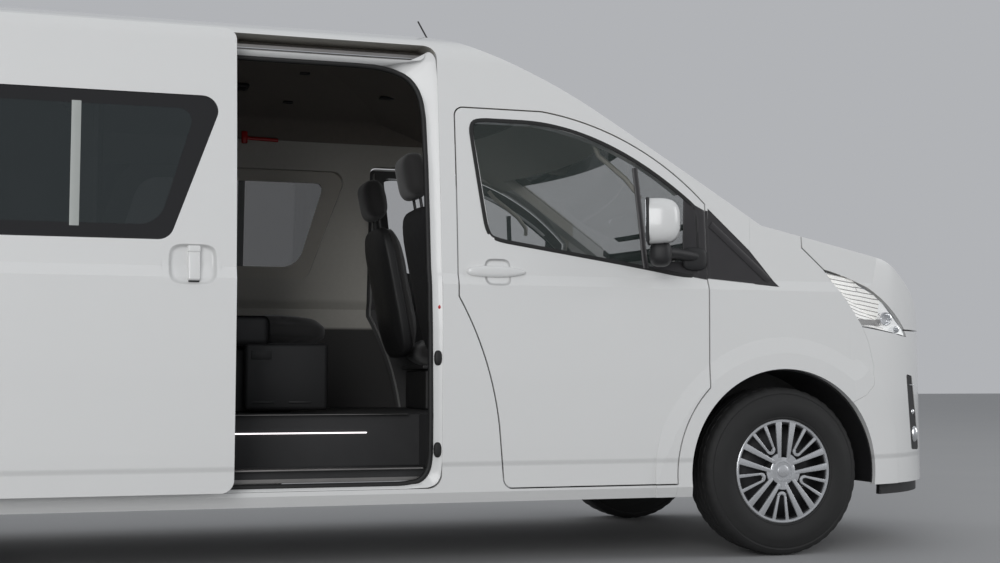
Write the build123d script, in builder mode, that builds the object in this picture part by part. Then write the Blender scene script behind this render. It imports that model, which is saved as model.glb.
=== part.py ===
from build123d import *
from functools import lru_cache
from math import cos, radians, sin, sqrt, tan
import os

# Passenger van, long wheelbase, raised roof. +X forward, +Y left, +Z up, mm.
# The origin is on the ground, half way along the body.

os.makedirs("parts", exist_ok=True)

# Overall sizes
LENGTH = 5915.0
HEIGHT = 2280.0
WIDTH = 1950.0
WHEELBASE = 3860.0
FRONT_OVERHANG = 1015.0
TRACK = 1675.0

NOSE_X = LENGTH / 2
TAIL_X = -LENGTH / 2
FRONT_AXLE_X = NOSE_X - FRONT_OVERHANG
REAR_AXLE_X = FRONT_AXLE_X - WHEELBASE

# Tyre and rim sizes
TYRE_RADIUS = 356.0
TYRE_WIDTH = 235.0
RIM_RADIUS = 205.0
RIM_WALL = 7.0
COVER_RADIUS = 219.0
AXLE_Z = TYRE_RADIUS
WHEEL_Y = TRACK / 2

# Panels and gaps
WALL = 60.0
SKIN = 26.0
BONNET_SKIN = 22.0
GLASS = 5.0
GLASS_SET = 5.0
SHUT_GAP = 6.0
SEAT_GAP = 0.3
ARCH_RADIUS = 433.0
FLARE_RADIUS = 594.0
FLARE_FLAT = 500.0
FLARE = 9.0
SILL_Z = 258.0
FLOOR_Z = 600.0
FLOOR_T = 40.0

# Body cross section: half width at each height, sill to roof edge
HALF = WIDTH / 2 - FLARE
SECTION = [  # (half width, height)
    (HALF - 34.0, SILL_Z),
    (HALF - 12.0, 300.0),
    (HALF - 5.0, 470.0),
    (HALF - 1.0, 1122.0),
    (HALF - 20.0, 1165.0),
    (HALF - 88.0, 1850.0),
    (HALF - 115.0, 2045.0),
    (HALF - 128.0, 2120.0),
]
LOWER_BULGE = (HALF, 800.0)
UPPER_BULGE = (HALF - 48.0, 1510.0)
EAVE_RADIUS = 120.0

# Plan outline of the body
NOSE_BOW = 1500.0
NOSE_CORNER = 700.0
TAIL_BOW = 7000.0
TAIL_CORNER = 130.0

# Side profile of the nose, windscreen and roof
BOW_X = -560.0
COWL_X = FRONT_AXLE_X + 88.0
WINDSCREEN_RAKE = 34.0
BROW_RADIUS = 2456.0
BROW_X = -23.0
ROOF_CLEAR = 2.0
SIDE_CLEAR = 2.0
ROOF_LINE_Z = HEIGHT + ROOF_CLEAR
NOSE_PROFILE = [  # (x, z, corner radius), bumper foot to bonnet
    (NOSE_X - 62.0, 235.0, 0.0),
    (NOSE_X, 330.0, 60.0),
    (NOSE_X, 790.0, 280.0),
    (NOSE_X - 167.0, 1120.0, 260.0),
    (NOSE_X - 332.0, 1262.0, 240.0),
]
TAIL_PROFILE = [  # (x, z, corner radius), roof to bumper foot
    (TAIL_X + 120.0, ROOF_LINE_Z, 150.0),
    (TAIL_X + 28.0, 1180.0, 0.0),
    (TAIL_X + 18.0, 620.0, 0.0),
    (TAIL_X, 560.0, 20.0),
    (TAIL_X + 4.0, 300.0, 30.0),
    (TAIL_X + 60.0, 240.0, 0.0),
]

# Front door outline, seen from the side
DOOR_TOP_Z = 1849.0
DOOR_BOTTOM_Z = 315.0
DOOR_REAR_X = 512.0
DOOR_FRONT_X = 1590.0
DOOR_ARCH_RADIUS = 500.0
HINGE_FLANGE = 105.0

# Sliding door and its opening on the right side
SLIDE_FRONT_X = 437.0
SLIDE_REAR_X = -893.0
SLIDE_TOP_Z = 2102.0
SLIDE_BOTTOM_Z = 323.0
SLIDE_TRAVEL = 810.0
SLIDE_OUT = 82.0
DOOR_LIP = 14.0
DOOR_STEP = 20.0

# Rails of the sliding door: under the roof edge, behind the opening and under the step
RAIL_TOP_Y = (-770.0, -735.0)
RAIL_MID_Z = (1206.0, 1238.0)
RAIL_MID_PROUD = 10.0
RAIL_LOW_Y = (-900.0, -866.0)
RAIL_LOW_Z = (347.0, 361.7)

# Windows in the side, rear to front
WINDOW_TOP_Z = 1822.0
WINDOW_BOTTOM_Z = 1262.0
WINDOW_RADIUS = 60.0
QUARTER_REAR_X = -2690.0
QUARTER_FRONT_X = -960.0
SLIDE_GLASS_REAR_X = -850.0
SLIDE_GLASS_TOP_X = 392.0
SLIDE_GLASS_LOW_X = 190.0

# Bonnet, lamps and bumper seams
BONNET_REAR_X = 2045.0
LAMP_REAR_TOP = (2149.0, 1214.0)
LAMP_REAR_LOW = (2324.0, 972.0)
LAMP_TOP_MID = (2392.0, 1118.0)
LAMP_FRONT_TOP = (2600.0, 962.0)
LAMP_FRONT_LOW = (2620.0, 934.0)
LAMP_DEPTH = 70.0
BUMPER_BOTTOM_Z = 292.0
GRILLE_HALF = 610.0
GRILLE_TOP_Z = 955.0
GRILLE_BOTTOM_Z = 812.0

# Seams of the front end, seen from the side
WINDSCREEN_LOW_Z = 1380.0
GARNISH = [(1608.0, 1168.0), (1924.0, 1141.0), (1800.0, 1290.0), (1612.0, 1468.0)]
LAMP_SEAM = [(2356.0, 905.0), (2384.0, 800.0), (2378.0, 720.0), (2333.0, 677.0), (2200.0, 620.0), (2200.0, 150.0)]
FENDER = [
    (1446.0, 150.0),
    (1446.0, 1000.0),
    (1604.0, 1166.0),
    (1927.0, 1138.0),
    (1800.0, 1290.0),
    (1812.0, 1600.0),
    (BONNET_REAR_X, 1600.0),
    (BONNET_REAR_X, 1310.0),
    LAMP_REAR_TOP,
    LAMP_REAR_LOW,
    *LAMP_SEAM,
]
NOSE_PARTS = [
    *reversed(LAMP_SEAM),
    LAMP_REAR_LOW,
    LAMP_FRONT_LOW,
    LAMP_FRONT_TOP,
    (NOSE_X + 40.0, 962.0),
    (NOSE_X + 40.0, 150.0),
]
SLOT = [(2613.0, 769.0), (2668.0, 760.0), (2747.0, 427.0), (2651.0, 433.0)]
INTAKE_HALF = 470.0
INTAKE_Z = (372.0, 520.0)

# Tailgate, rear bumper, tail lamps and fuel flap
REAR_BUMPER_X = TAIL_X + 330.0
BUMPER_TOP_Z = 600.0
GATE_HALF = 745.0
GATE_TOP_Z = 2090.0
GATE_BOTTOM_Z = 640.0
TAIL_LAMP_Y = GATE_HALF + 22.0
TAIL_LAMP_Z = (940.0, 1520.0)
TAIL_LAMP_DEPTH = 95.0
TAIL_LAMP_BACK = 44.0
FLAP = [(-1290.0, 960.0), (-1130.0, 960.0), (-1130.0, 1100.0), (-1290.0, 1100.0)]
FLAP_SKIN = 4.0
FLAP_GAP = 5.0
FLAP_HINGE_Y = 966.0
GATE_HINGE = (-2853.0, 2086.0)
GATE_HINGE_Y = (450.0, 540.0)
BONNET_HINGE = (2066.0, 1385.0)
BONNET_HINGE_Y = (250.0, 300.0)
BONNET_HINGE_RADIUS = 20.0

# Steering
KINGPIN_Y = 765.0
COLUMN_TILT = 32.0
STEERING_WHEEL_X = 1290.0
STEERING_WHEEL_Z = 1165.0
STEERING_WHEEL_RADIUS = 195.0
DRIVER_Y = 430.0


def save(part, name):
    part.label = name
    export_step(part, f"parts/{name}.step")


def section_sketch(inset, bottom):
    """Closed cross section of the body in Y and Z, moved inward by inset."""
    foot, sill, crease, belt, shoulder, rail, gutter, eave = SECTION
    with BuildSketch() as sketch:
        with BuildLine():
            Polyline((0, bottom), (foot[0], bottom), foot, sill, crease)
            ThreePointArc(crease, LOWER_BULGE, belt)
            Line(belt, shoulder)
            ThreePointArc(shoulder, UPPER_BULGE, rail)
            Polyline(rail, gutter, eave)
            mirror(about=Plane.YZ)
            ThreePointArc(eave, (0, HEIGHT), (-eave[0], eave[1]))
        make_face()
        fillet(sketch.vertices().filter_by(lambda v: abs(v.Y - eave[1]) < 0.01), EAVE_RADIUS)
        if inset:
            offset(amount=-inset)
    return sketch.sketch


def plan_sketch(inset):
    """Closed plan outline of the body in X and Y, moved inward by inset."""
    side = HALF + SIDE_CLEAR
    nose_drop = NOSE_BOW - sqrt(NOSE_BOW ** 2 - side ** 2)
    tail_drop = TAIL_BOW - sqrt(TAIL_BOW ** 2 - side ** 2)
    with BuildSketch() as sketch:
        with BuildLine():
            ThreePointArc((NOSE_X - nose_drop, -side), (NOSE_X, 0), (NOSE_X - nose_drop, side))
            Line((NOSE_X - nose_drop, side), (TAIL_X + tail_drop, side))
            ThreePointArc((TAIL_X + tail_drop, side), (TAIL_X, 0), (TAIL_X + tail_drop, -side))
            Line((TAIL_X + tail_drop, -side), (NOSE_X - nose_drop, -side))
        make_face()
        fillet(sketch.vertices().group_by(Axis.X)[-1], NOSE_CORNER)
        fillet(sketch.vertices().group_by(Axis.X)[0], TAIL_CORNER)
        if inset:
            offset(amount=-inset)
    return sketch.sketch


def inset_path(points, inset):
    """Corners of an open path after its straight runs move to the left by inset."""
    normals = []
    for (x0, z0), (x1, z1) in zip(points, points[1:]):
        run = sqrt((x1 - x0) ** 2 + (z1 - z0) ** 2)
        normals.append(((z0 - z1) / run, (x1 - x0) / run))
    moved = []
    for (x, z), before, after in zip(points, normals[:1] + normals, normals + normals[-1:]):
        share = inset / (1 + before[0] * after[0] + before[1] * after[1])
        moved.append((x + share * (before[0] + after[0]), z + share * (before[1] + after[1])))
    return moved


def profile_sketch(inset, bottom):
    """Closed side profile of the body in X and Z, moved inward by inset."""
    rake = radians(WINDSCREEN_RAKE)
    brow_z = ROOF_LINE_Z - BROW_RADIUS
    brow_foot = (BROW_X + BROW_RADIUS * sin(rake), brow_z + BROW_RADIUS * cos(rake))
    cowl = (COWL_X, brow_foot[1] - (COWL_X - brow_foot[0]) * tan(rake))
    nose_corners = [(x, z) for x, z, radius in NOSE_PROFILE]
    tail_corners = [(x, z) for x, z, radius in TAIL_PROFILE]
    radii = [radius for x, z, radius in NOSE_PROFILE + TAIL_PROFILE]
    nose = inset_path([(nose_corners[0][0], bottom), *nose_corners, cowl, brow_foot], inset)
    tail = inset_path([(BROW_X, ROOF_LINE_Z), *tail_corners, (tail_corners[-1][0], bottom)], inset)
    brow_inner = BROW_RADIUS - inset
    brow_mid = (BROW_X + brow_inner * sin(rake / 2), brow_z + brow_inner * cos(rake / 2))
    with BuildSketch() as sketch:
        with BuildLine():
            Polyline(*nose)
            ThreePointArc(nose[-1], brow_mid, tail[0])
            Polyline(*tail, nose[0])
        make_face()
        for corner, radius in zip(nose[1:-2] + tail[1:-1], radii):
            if radius > inset + 1:
                fillet(sketch.vertices().sort_by_distance(Vector(*corner, 0))[0], radius - inset)
    return sketch.sketch


@lru_cache(maxsize=None)
def body_form(inset=0.0, bottom=60.0):
    """Closed volume inside the body skin, moved inward by inset."""
    profile = profile_sketch(inset, bottom)
    section = section_sketch(inset, bottom - 1.0)
    plan = plan_sketch(inset)
    bow_plane = Plane(origin=(BOW_X, 0, 0), x_dir=(0, -1, 0), z_dir=(-1, 0, 0))
    with BuildPart() as form:
        with BuildSketch(Plane.YZ.offset(BOW_X)):
            add(section)
        extrude(amount=LENGTH)
        with BuildSketch(Plane.XY.offset(bottom - 20.0)):
            add(plan)
        extrude(amount=HEIGHT, mode=Mode.INTERSECT)
        with BuildSketch(bow_plane):
            with Locations((-BOW_X, 0)):
                add(profile)
            with Locations((-LENGTH, HEIGHT / 2)):
                Rectangle(2 * LENGTH, 2 * HEIGHT, mode=Mode.SUBTRACT)
        revolve(axis=Axis((BOW_X, 0, 0), (0, 0, 1)), revolution_arc=180, mode=Mode.INTERSECT)
    with BuildPart() as rear_form:
        with BuildSketch(Plane.YZ.offset(BOW_X - LENGTH)):
            add(section)
        extrude(amount=LENGTH)
        with BuildSketch(Plane.XY.offset(bottom - 20.0)):
            add(plan)
        extrude(amount=HEIGHT, mode=Mode.INTERSECT)
        with BuildSketch(Plane.XZ):
            add(profile)
        extrude(amount=WIDTH, both=True, mode=Mode.INTERSECT)
    return form.part + rear_form.part


def panel(out_inset, in_inset, keep):
    """The part of the layer between two insets that lies inside keep."""
    with BuildPart() as piece:
        add(body_form(out_inset))
        add(keep, mode=Mode.INTERSECT)
        add(body_form(in_inset), mode=Mode.SUBTRACT)
    return piece.part


def side_prism(outline, near, far):
    """Outline in X and Z, extruded from Y = near to Y = far."""
    with BuildPart() as prism:
        with BuildSketch(Plane.XZ.offset(-far)):
            add(outline)
        extrude(amount=far - near)
    return prism.part


def polygon_sketch(points, radius=0.0, grow=0.0):
    """Closed outline through the points, its corners rounded, then grown on all sides."""
    with BuildSketch() as sketch:
        with BuildLine():
            Polyline(*points, close=True)
        make_face()
        if radius:
            fillet(sketch.vertices(), radius)
        if grow:
            offset(amount=grow)
    return sketch.sketch


def block(x0, x1, y0, y1, z0, z1, radius=0.0):
    """Box between the given planes, its edges rounded where a radius is given."""
    with BuildPart() as box:
        with BuildSketch(Plane.XY.offset(z0)):
            with Locations(((x0 + x1) / 2, (y0 + y1) / 2)):
                Rectangle(x1 - x0, y1 - y0)
        extrude(amount=z1 - z0)
        if radius:
            fillet(box.edges(), radius)
    return box.part


def axle_ring(axle_x, inner, outer, y0, y1):
    """Ring about a wheel's axis between two planes across the van."""
    with BuildPart() as ring:
        with BuildSketch(Plane.XZ.offset(-y1)):
            with Locations((axle_x, AXLE_Z)):
                Circle(outer)
                if inner:
                    Circle(inner, mode=Mode.SUBTRACT)
        extrude(amount=y1 - y0)
    return ring.part


def both_sides(part):
    """The part and its mirror image across the van."""
    with BuildPart() as pair:
        add(part)
        mirror(about=Plane.XZ)
    return pair.part


def door_sketch(grow=0.0):
    """Outline of the front door, seen from the side."""
    low_front_x = FRONT_AXLE_X - sqrt(DOOR_ARCH_RADIUS ** 2 - (AXLE_Z - DOOR_BOTTOM_Z) ** 2)
    arch_end_z = AXLE_Z + sqrt(DOOR_ARCH_RADIUS ** 2 - (FRONT_AXLE_X - DOOR_FRONT_X) ** 2)
    arch_mid_angle = radians(159.0)
    arch_mid = (
        FRONT_AXLE_X + DOOR_ARCH_RADIUS * cos(arch_mid_angle),
        AXLE_Z + DOOR_ARCH_RADIUS * sin(arch_mid_angle),
    )
    rear_turn = (DOOR_REAR_X, 1075.0)
    rear_mid = (DOOR_REAR_X + 98.0, 860.0)
    rear_low = (DOOR_REAR_X + 168.0, 560.0)
    low_rear = (DOOR_REAR_X + 190.0, DOOR_BOTTOM_Z)
    top_arc_start = (DOOR_REAR_X + 370.0, DOOR_TOP_Z)
    top_arc_mid = (DOOR_REAR_X + 738.0, DOOR_TOP_Z - 109.0)
    top_front = (DOOR_FRONT_X + 6.0, 1485.0)
    with BuildSketch() as sketch:
        with BuildLine():
            Polyline(low_rear, (low_front_x, DOOR_BOTTOM_Z))
            ThreePointArc((low_front_x, DOOR_BOTTOM_Z), arch_mid, (DOOR_FRONT_X, arch_end_z))
            Polyline((DOOR_FRONT_X, arch_end_z), top_front)
            ThreePointArc(top_front, top_arc_mid, top_arc_start)
            Polyline(top_arc_start, (DOOR_REAR_X, DOOR_TOP_Z), rear_turn)
            ThreePointArc(rear_turn, rear_mid, rear_low)
            Line(rear_low, low_rear)
        make_face()
        fillet(sketch.vertices().sort_by_distance(Vector(DOOR_REAR_X, DOOR_TOP_Z, 0))[0], 34)
        fillet(sketch.vertices().sort_by_distance(Vector(*low_rear, 0))[0], 34)
        if grow:
            offset(amount=grow)
    return sketch.sketch


def door_window_sketch(grow=0.0):
    """Outline of the front door's window, seen from the side."""
    top_start = (DOOR_REAR_X + 330.0, DOOR_TOP_Z - 52.0)
    top_mid = (DOOR_REAR_X + 698.0, DOOR_TOP_Z - 153.0)
    top_front = (DOOR_FRONT_X - 34.0, 1462.0)
    low_front = (DOOR_FRONT_X - 34.0, 1172.0)
    low_bend = (DOOR_REAR_X + 780.0, 1218.0)
    low_rear = (DOOR_REAR_X + 134.0, 1316.0)
    top_rear = (DOOR_REAR_X + 66.0, DOOR_TOP_Z - 52.0)
    with BuildSketch() as sketch:
        with BuildLine():
            ThreePointArc(top_start, top_mid, top_front)
            Polyline(top_front, low_front, low_bend, low_rear, top_rear, top_start)
        make_face()
        for corner in (top_rear, low_rear, low_front):
            fillet(sketch.vertices().sort_by_distance(Vector(*corner, 0))[0], 26)
        if grow:
            offset(amount=grow)
    return sketch.sketch


def slide_sketch(grow=0.0):
    """Outline of the sliding door, closed, seen from the side."""
    corners = [
        (SLIDE_REAR_X, SLIDE_BOTTOM_Z),
        (SLIDE_FRONT_X, SLIDE_BOTTOM_Z),
        (SLIDE_FRONT_X, SLIDE_TOP_Z),
        (SLIDE_REAR_X, SLIDE_TOP_Z),
    ]
    return polygon_sketch(corners, 48.0, grow)


def slide_window_sketch(grow=0.0):
    """Outline of the window behind the front door, with its leaning front end."""
    corners = [
        (SLIDE_GLASS_REAR_X, WINDOW_BOTTOM_Z),
        (SLIDE_GLASS_LOW_X, WINDOW_BOTTOM_Z),
        (SLIDE_GLASS_TOP_X, WINDOW_TOP_Z),
        (SLIDE_GLASS_REAR_X, WINDOW_TOP_Z),
    ]
    return polygon_sketch(corners, WINDOW_RADIUS, grow)


def quarter_window_sketch(grow=0.0):
    """Outline of the long fixed window behind the sliding door."""
    corners = [
        (QUARTER_REAR_X, WINDOW_BOTTOM_Z),
        (QUARTER_FRONT_X, WINDOW_BOTTOM_Z),
        (QUARTER_FRONT_X, WINDOW_TOP_Z),
        (QUARTER_REAR_X, WINDOW_TOP_Z),
    ]
    return polygon_sketch(corners, WINDOW_RADIUS, grow)


def gate_sketch(grow=0.0):
    """Outline of the tailgate in Y and Z."""
    corners = [
        (-GATE_HALF, GATE_BOTTOM_Z),
        (GATE_HALF, GATE_BOTTOM_Z),
        (GATE_HALF - 55.0, GATE_TOP_Z),
        (55.0 - GATE_HALF, GATE_TOP_Z),
    ]
    return polygon_sketch(corners, 60.0, grow)


def gate_window_sketch(grow=0.0):
    """Outline of the tailgate's window in Y and Z."""
    inset = 75.0
    corners = [
        (inset - GATE_HALF, WINDOW_BOTTOM_Z),
        (GATE_HALF - inset, WINDOW_BOTTOM_Z),
        (GATE_HALF - 55.0 - inset, WINDOW_TOP_Z + 60.0),
        (55.0 + inset - GATE_HALF, WINDOW_TOP_Z + 60.0),
    ]
    return polygon_sketch(corners, WINDOW_RADIUS, grow)


def rear_prism(outline):
    """Outline in Y and Z, extruded along the rear end of the body."""
    with BuildPart() as prism:
        with BuildSketch(Plane.YZ.offset(TAIL_X - 60.0)):
            add(outline)
        extrude(amount=260.0)
    return prism.part


def recess(keep, depth):
    """The part of keep that lies outside the form moved inward by depth."""
    return keep - body_form(depth)


def tail_lamp_boxes(grow=0.0):
    """The space of both tail lamps."""
    return both_sides(block(
        TAIL_X - 60, TAIL_X + TAIL_LAMP_DEPTH + grow, TAIL_LAMP_Y - grow, 1200,
        TAIL_LAMP_Z[0] - grow, TAIL_LAMP_Z[1] + grow))


def lamp_sketch(grow=0.0):
    """Outline of the headlamp, seen from the side."""
    with BuildSketch() as sketch:
        with BuildLine():
            ThreePointArc(LAMP_REAR_TOP, LAMP_TOP_MID, LAMP_FRONT_TOP)
            Polyline(LAMP_FRONT_TOP, LAMP_FRONT_LOW, LAMP_REAR_LOW, LAMP_REAR_TOP)
        make_face()
        if grow:
            offset(amount=grow)
    return sketch.sketch


def windscreen_prism(grow=0.0):
    """Plan outline of the windscreen, bowed as the body is, through the whole height."""
    top_radius = 1350.0 - BOW_X
    low_radius = COWL_X - 46.0 - BOW_X
    with BuildPart() as prism:
        with BuildSketch(Plane.XY.offset(WINDSCREEN_LOW_Z)) as plan:
            with Locations((BOW_X, 0)):
                Circle(low_radius + grow)
                Circle(top_radius - grow, mode=Mode.SUBTRACT)
            with BuildSketch(mode=Mode.PRIVATE) as limits:
                with BuildLine():
                    Polyline(
                        (1000, -(700 + grow)),
                        (2200, -(878 + grow)),
                        (2200, 878 + grow),
                        (1000, 700 + grow),
                        close=True,
                    )
                make_face()
            add(limits.sketch, mode=Mode.INTERSECT)
        extrude(amount=HEIGHT - WINDSCREEN_LOW_Z)
    return prism.part


# Volumes that the panels are cut from
outer = body_form(0.0, SILL_Z - 40.0)
inner = body_form(WALL)
skin = body_form(SKIN)

with BuildPart() as flare_cone:
    for axle_x in (FRONT_AXLE_X, REAR_AXLE_X):
        with BuildSketch(Plane.XY.offset(AXLE_Z)):
            with BuildLine():
                Polyline(
                    (axle_x, HALF - 60.0),
                    (axle_x + FLARE_RADIUS, HALF - 60.0),
                    (axle_x + FLARE_RADIUS, HALF - 3.0),
                    (axle_x + FLARE_FLAT, HALF + FLARE),
                    (axle_x, HALF + FLARE),
                    close=True,
                )
            make_face()
        revolve(axis=Axis((axle_x, 0, AXLE_Z), (0, 1, 0)), revolution_arc=360)
flares = flare_cone.part & (Pos(0, FLARE, 0) * outer)
skinned = outer + flares + mirror(flares, about=Plane.XZ)
gate_space = rear_prism(gate_sketch())
gate_leaf = (outer & gate_space) - (inner & gate_space)
skin_layer = skinned - skin
arches = Part() + [axle_ring(x, 0, ARCH_RADIUS, y0, y1)
                   for x in (FRONT_AXLE_X, REAR_AXLE_X)
                   for y0, y1 in ((560, 1100), (-1100, -560))]

# Body shell: sides, roof and pillars, open at doors, windows and screens
with BuildPart() as body_shell:
    add(skinned)
    add(inner, mode=Mode.SUBTRACT)
    add(side_prism(door_sketch(SHUT_GAP), -1200, 1200), mode=Mode.SUBTRACT)
    add(side_prism(slide_sketch(SHUT_GAP), -1200, -500), mode=Mode.SUBTRACT)
    add(side_prism(slide_window_sketch(), 500, 1200), mode=Mode.SUBTRACT)
    add(side_prism(quarter_window_sketch(), -1200, 1200), mode=Mode.SUBTRACT)
    add(side_prism(polygon_sketch(FENDER, 0, 0.5), -1200, 1200), mode=Mode.SUBTRACT)
    add(side_prism(polygon_sketch(GARNISH, 0, 0.5), -1200, 1200), mode=Mode.SUBTRACT)
    add(block(1650, 3100, -1200, 1200, 100, 1140), mode=Mode.SUBTRACT)
    add(block(1812, 3100, -1200, 1200, 100, 1800), mode=Mode.SUBTRACT)
    add(block(-3100, 3100, -1200, 1200, 100, SILL_Z), mode=Mode.SUBTRACT)
    add(windscreen_prism(), mode=Mode.SUBTRACT)
    add(rear_prism(gate_sketch(SHUT_GAP)), mode=Mode.SUBTRACT)
    add(arches, mode=Mode.SUBTRACT)
    add(block(-3100, REAR_BUMPER_X, -1200, 1200, 100, BUMPER_TOP_Z), mode=Mode.SUBTRACT)
    add(recess(tail_lamp_boxes(SEAT_GAP), TAIL_LAMP_BACK + SEAT_GAP), mode=Mode.SUBTRACT)
    add(recess(side_prism(polygon_sketch(FLAP, 25, FLAP_GAP), 500, 1200), 30.0), mode=Mode.SUBTRACT)
save(body_shell.part, "body_shell")

# Front fenders
with BuildPart() as front_fenders:
    add(skin_layer)
    add(side_prism(polygon_sketch(FENDER), -1200, 1200), mode=Mode.INTERSECT)
    add(side_prism(door_sketch(SHUT_GAP), -1200, 1200), mode=Mode.SUBTRACT)
    add(arches, mode=Mode.SUBTRACT)
    add(windscreen_prism(40.0), mode=Mode.SUBTRACT)
    add(block(1400, 2600, -620, 620, 100, 1600), mode=Mode.SUBTRACT)
    add(block(1400, 2600, -1200, 1200, 100, SILL_Z), mode=Mode.SUBTRACT)
save(front_fenders.part, "front_fenders")

# Black corner pane ahead of each front door
with BuildPart() as corner_panes:
    add(panel(2.0, SKIN, side_prism(polygon_sketch(GARNISH), -1200, 1200)))
    add(side_prism(door_sketch(SHUT_GAP), -1200, 1200), mode=Mode.SUBTRACT)
save(corner_panes.part, "corner_panes")

# Scuttle between the windscreen and the bonnet
with BuildPart() as scuttle:
    add(panel(4.0, SKIN, block(1812, BONNET_REAR_X - 3, -840, 840, 1250, 1600)))
    for near, far in ((BONNET_HINGE_Y[0], BONNET_HINGE_Y[1]), (-BONNET_HINGE_Y[1], -BONNET_HINGE_Y[0])):
        tab_top = BONNET_HINGE[1] - BONNET_HINGE_RADIUS - SEAT_GAP
        add(block(BONNET_REAR_X - 45, BONNET_HINGE[0] + 8, near, far, tab_top - 14, tab_top))
        add(block(BONNET_REAR_X - 45, BONNET_REAR_X - 7, near, far, tab_top - 14, BONNET_HINGE[1] - 4))
    add(windscreen_prism(1.0), mode=Mode.SUBTRACT)
    add(front_fenders.part, mode=Mode.SUBTRACT)
save(scuttle.part, "scuttle")

# Bonnet
with BuildSketch() as bonnet_sketch:
    with BuildLine():
        Polyline((BONNET_REAR_X, 1600), (BONNET_REAR_X, 1310), LAMP_REAR_TOP)
        ThreePointArc(LAMP_REAR_TOP, LAMP_TOP_MID, LAMP_FRONT_TOP)
        Polyline(LAMP_FRONT_TOP, (NOSE_X + 40, 962), (NOSE_X + 40, 1600), (BONNET_REAR_X, 1600))
    make_face()
    offset(amount=-SHUT_GAP)
hinge_ends = ((BONNET_HINGE_Y[0], BONNET_HINGE_Y[1]), (-BONNET_HINGE_Y[1], -BONNET_HINGE_Y[0]))
with BuildPart() as bonnet:
    for near, far in hinge_ends:
        with BuildSketch(Plane.XZ.offset(-far)):
            with Locations(BONNET_HINGE):
                Circle(BONNET_HINGE_RADIUS)
        extrude(amount=far - near)
    add(body_form(), mode=Mode.INTERSECT)
    add(panel(0.0, BONNET_SKIN, side_prism(bonnet_sketch.sketch, -1200, 1200)))
save(bonnet.part, "bonnet")

# Front bumper, with a slot at each corner and an intake in the middle
slot_prism = both_sides(side_prism(polygon_sketch(SLOT, 10), 600, 1100))
slot_insert = both_sides(side_prism(polygon_sketch(SLOT, 10, -0.4), 600, 1100))
intake_box = block(2600, 3100, -INTAKE_HALF, INTAKE_HALF, *INTAKE_Z)
grille_box = block(2600, 3100, -GRILLE_HALF, GRILLE_HALF, GRILLE_BOTTOM_Z, GRILLE_TOP_Z + 20)
with BuildPart() as front_bumper:
    add(skin_layer)
    add(side_prism(polygon_sketch(NOSE_PARTS, 0, -1.0), -1200, 1200), mode=Mode.INTERSECT)
    add(arches, mode=Mode.SUBTRACT)
    add(block(2000, 3100, -1200, 1200, 100, BUMPER_BOTTOM_Z), mode=Mode.SUBTRACT)
    add(slot_prism, mode=Mode.SUBTRACT)
    add(intake_box, mode=Mode.SUBTRACT)
    add(grille_box, mode=Mode.SUBTRACT)
save(front_bumper.part, "front_bumper")

# Black lower edge below the bumper
front_valance = panel(20.0, 44.0, block(2420, 3100, -1200, 1200, 246, BUMPER_BOTTOM_Z))
save(front_valance, "front_valance")

# Grille, intake bars and slot inserts, each a grid of bars across its opening
grille_rows = [GRILLE_BOTTOM_Z + 4 + 33.0 * row for row in range(5)]
grille_columns = [7.3 - GRILLE_HALF, -300.0, 0.0, 300.0, GRILLE_HALF - 7.3]
intake_rows = [INTAKE_Z[0] + 3 + 33.5 * row for row in range(5)]
intake_columns = [5.3 - INTAKE_HALF, -235.0, 0.0, 235.0, INTAKE_HALF - 5.3]


def bar_grid(rows, columns, row_height, column_width):
    """Crossing flat bars, one per row and one per column, through the nose."""
    low, high = rows[0], rows[-1] + row_height
    left, right = columns[0] - column_width / 2, columns[-1] + column_width / 2
    with BuildPart() as grid:
        for z in rows:
            add(block(2600, 3100, left, right, z, z + row_height))
        for y in columns:
            add(block(2600, 3100, y - column_width / 2, y + column_width / 2, low, high))
    return grid.part


grille_grid = bar_grid(grille_rows, grille_columns, 13.0, 14.0)
intake_grid = bar_grid(intake_rows, intake_columns, 10.0, 10.0)
save(panel(4.0, 18.0, grille_grid + intake_grid + slot_insert), "nose_grilles")

# Headlamps: clear outer lens and the housing behind it
lamp_outline = side_prism(lamp_sketch(-2.0), -1200, 1200)
save(panel(1.0, 4.5, lamp_outline), "headlamp_lenses")
with BuildPart() as headlamp_housings:
    add(panel(5.0, LAMP_DEPTH, lamp_outline))
    add(panel(SKIN + SEAT_GAP, LAMP_DEPTH, Pos(0, 0, -6) * lamp_outline))
save(headlamp_housings.part, "headlamp_housings")

# Windscreen and fixed side windows
PANE = (GLASS_SET, GLASS_SET + GLASS)
save(panel(*PANE, windscreen_prism(-SEAT_GAP)), "windscreen")
fixed_windows = (side_prism(quarter_window_sketch(-SEAT_GAP), -1200, 1200)
                 + side_prism(slide_window_sketch(-SEAT_GAP), 500, 1200))
save(panel(*PANE, fixed_windows), "side_windows")


def door_leaf(outline, step_outline, windows):
    """Door leaf: thin lip over the whole outline, box over the smaller one, windows cut."""
    with BuildPart() as leaf:
        add(skinned)
        add(step_outline, mode=Mode.INTERSECT)
        add(inner, mode=Mode.SUBTRACT)
        add((skinned & outline) - body_form(DOOR_LIP))
        add(windows, mode=Mode.SUBTRACT)
    return leaf.part


def handle_cut(x0, x1, z0, z1, depth):
    """Shallow rounded recess in the right side for a handle."""
    outline = polygon_sketch([(x0, z0), (x1, z0), (x1, z1), (x0, z1)], 18)
    return recess(side_prism(outline, -1200, -500), depth)


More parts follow.
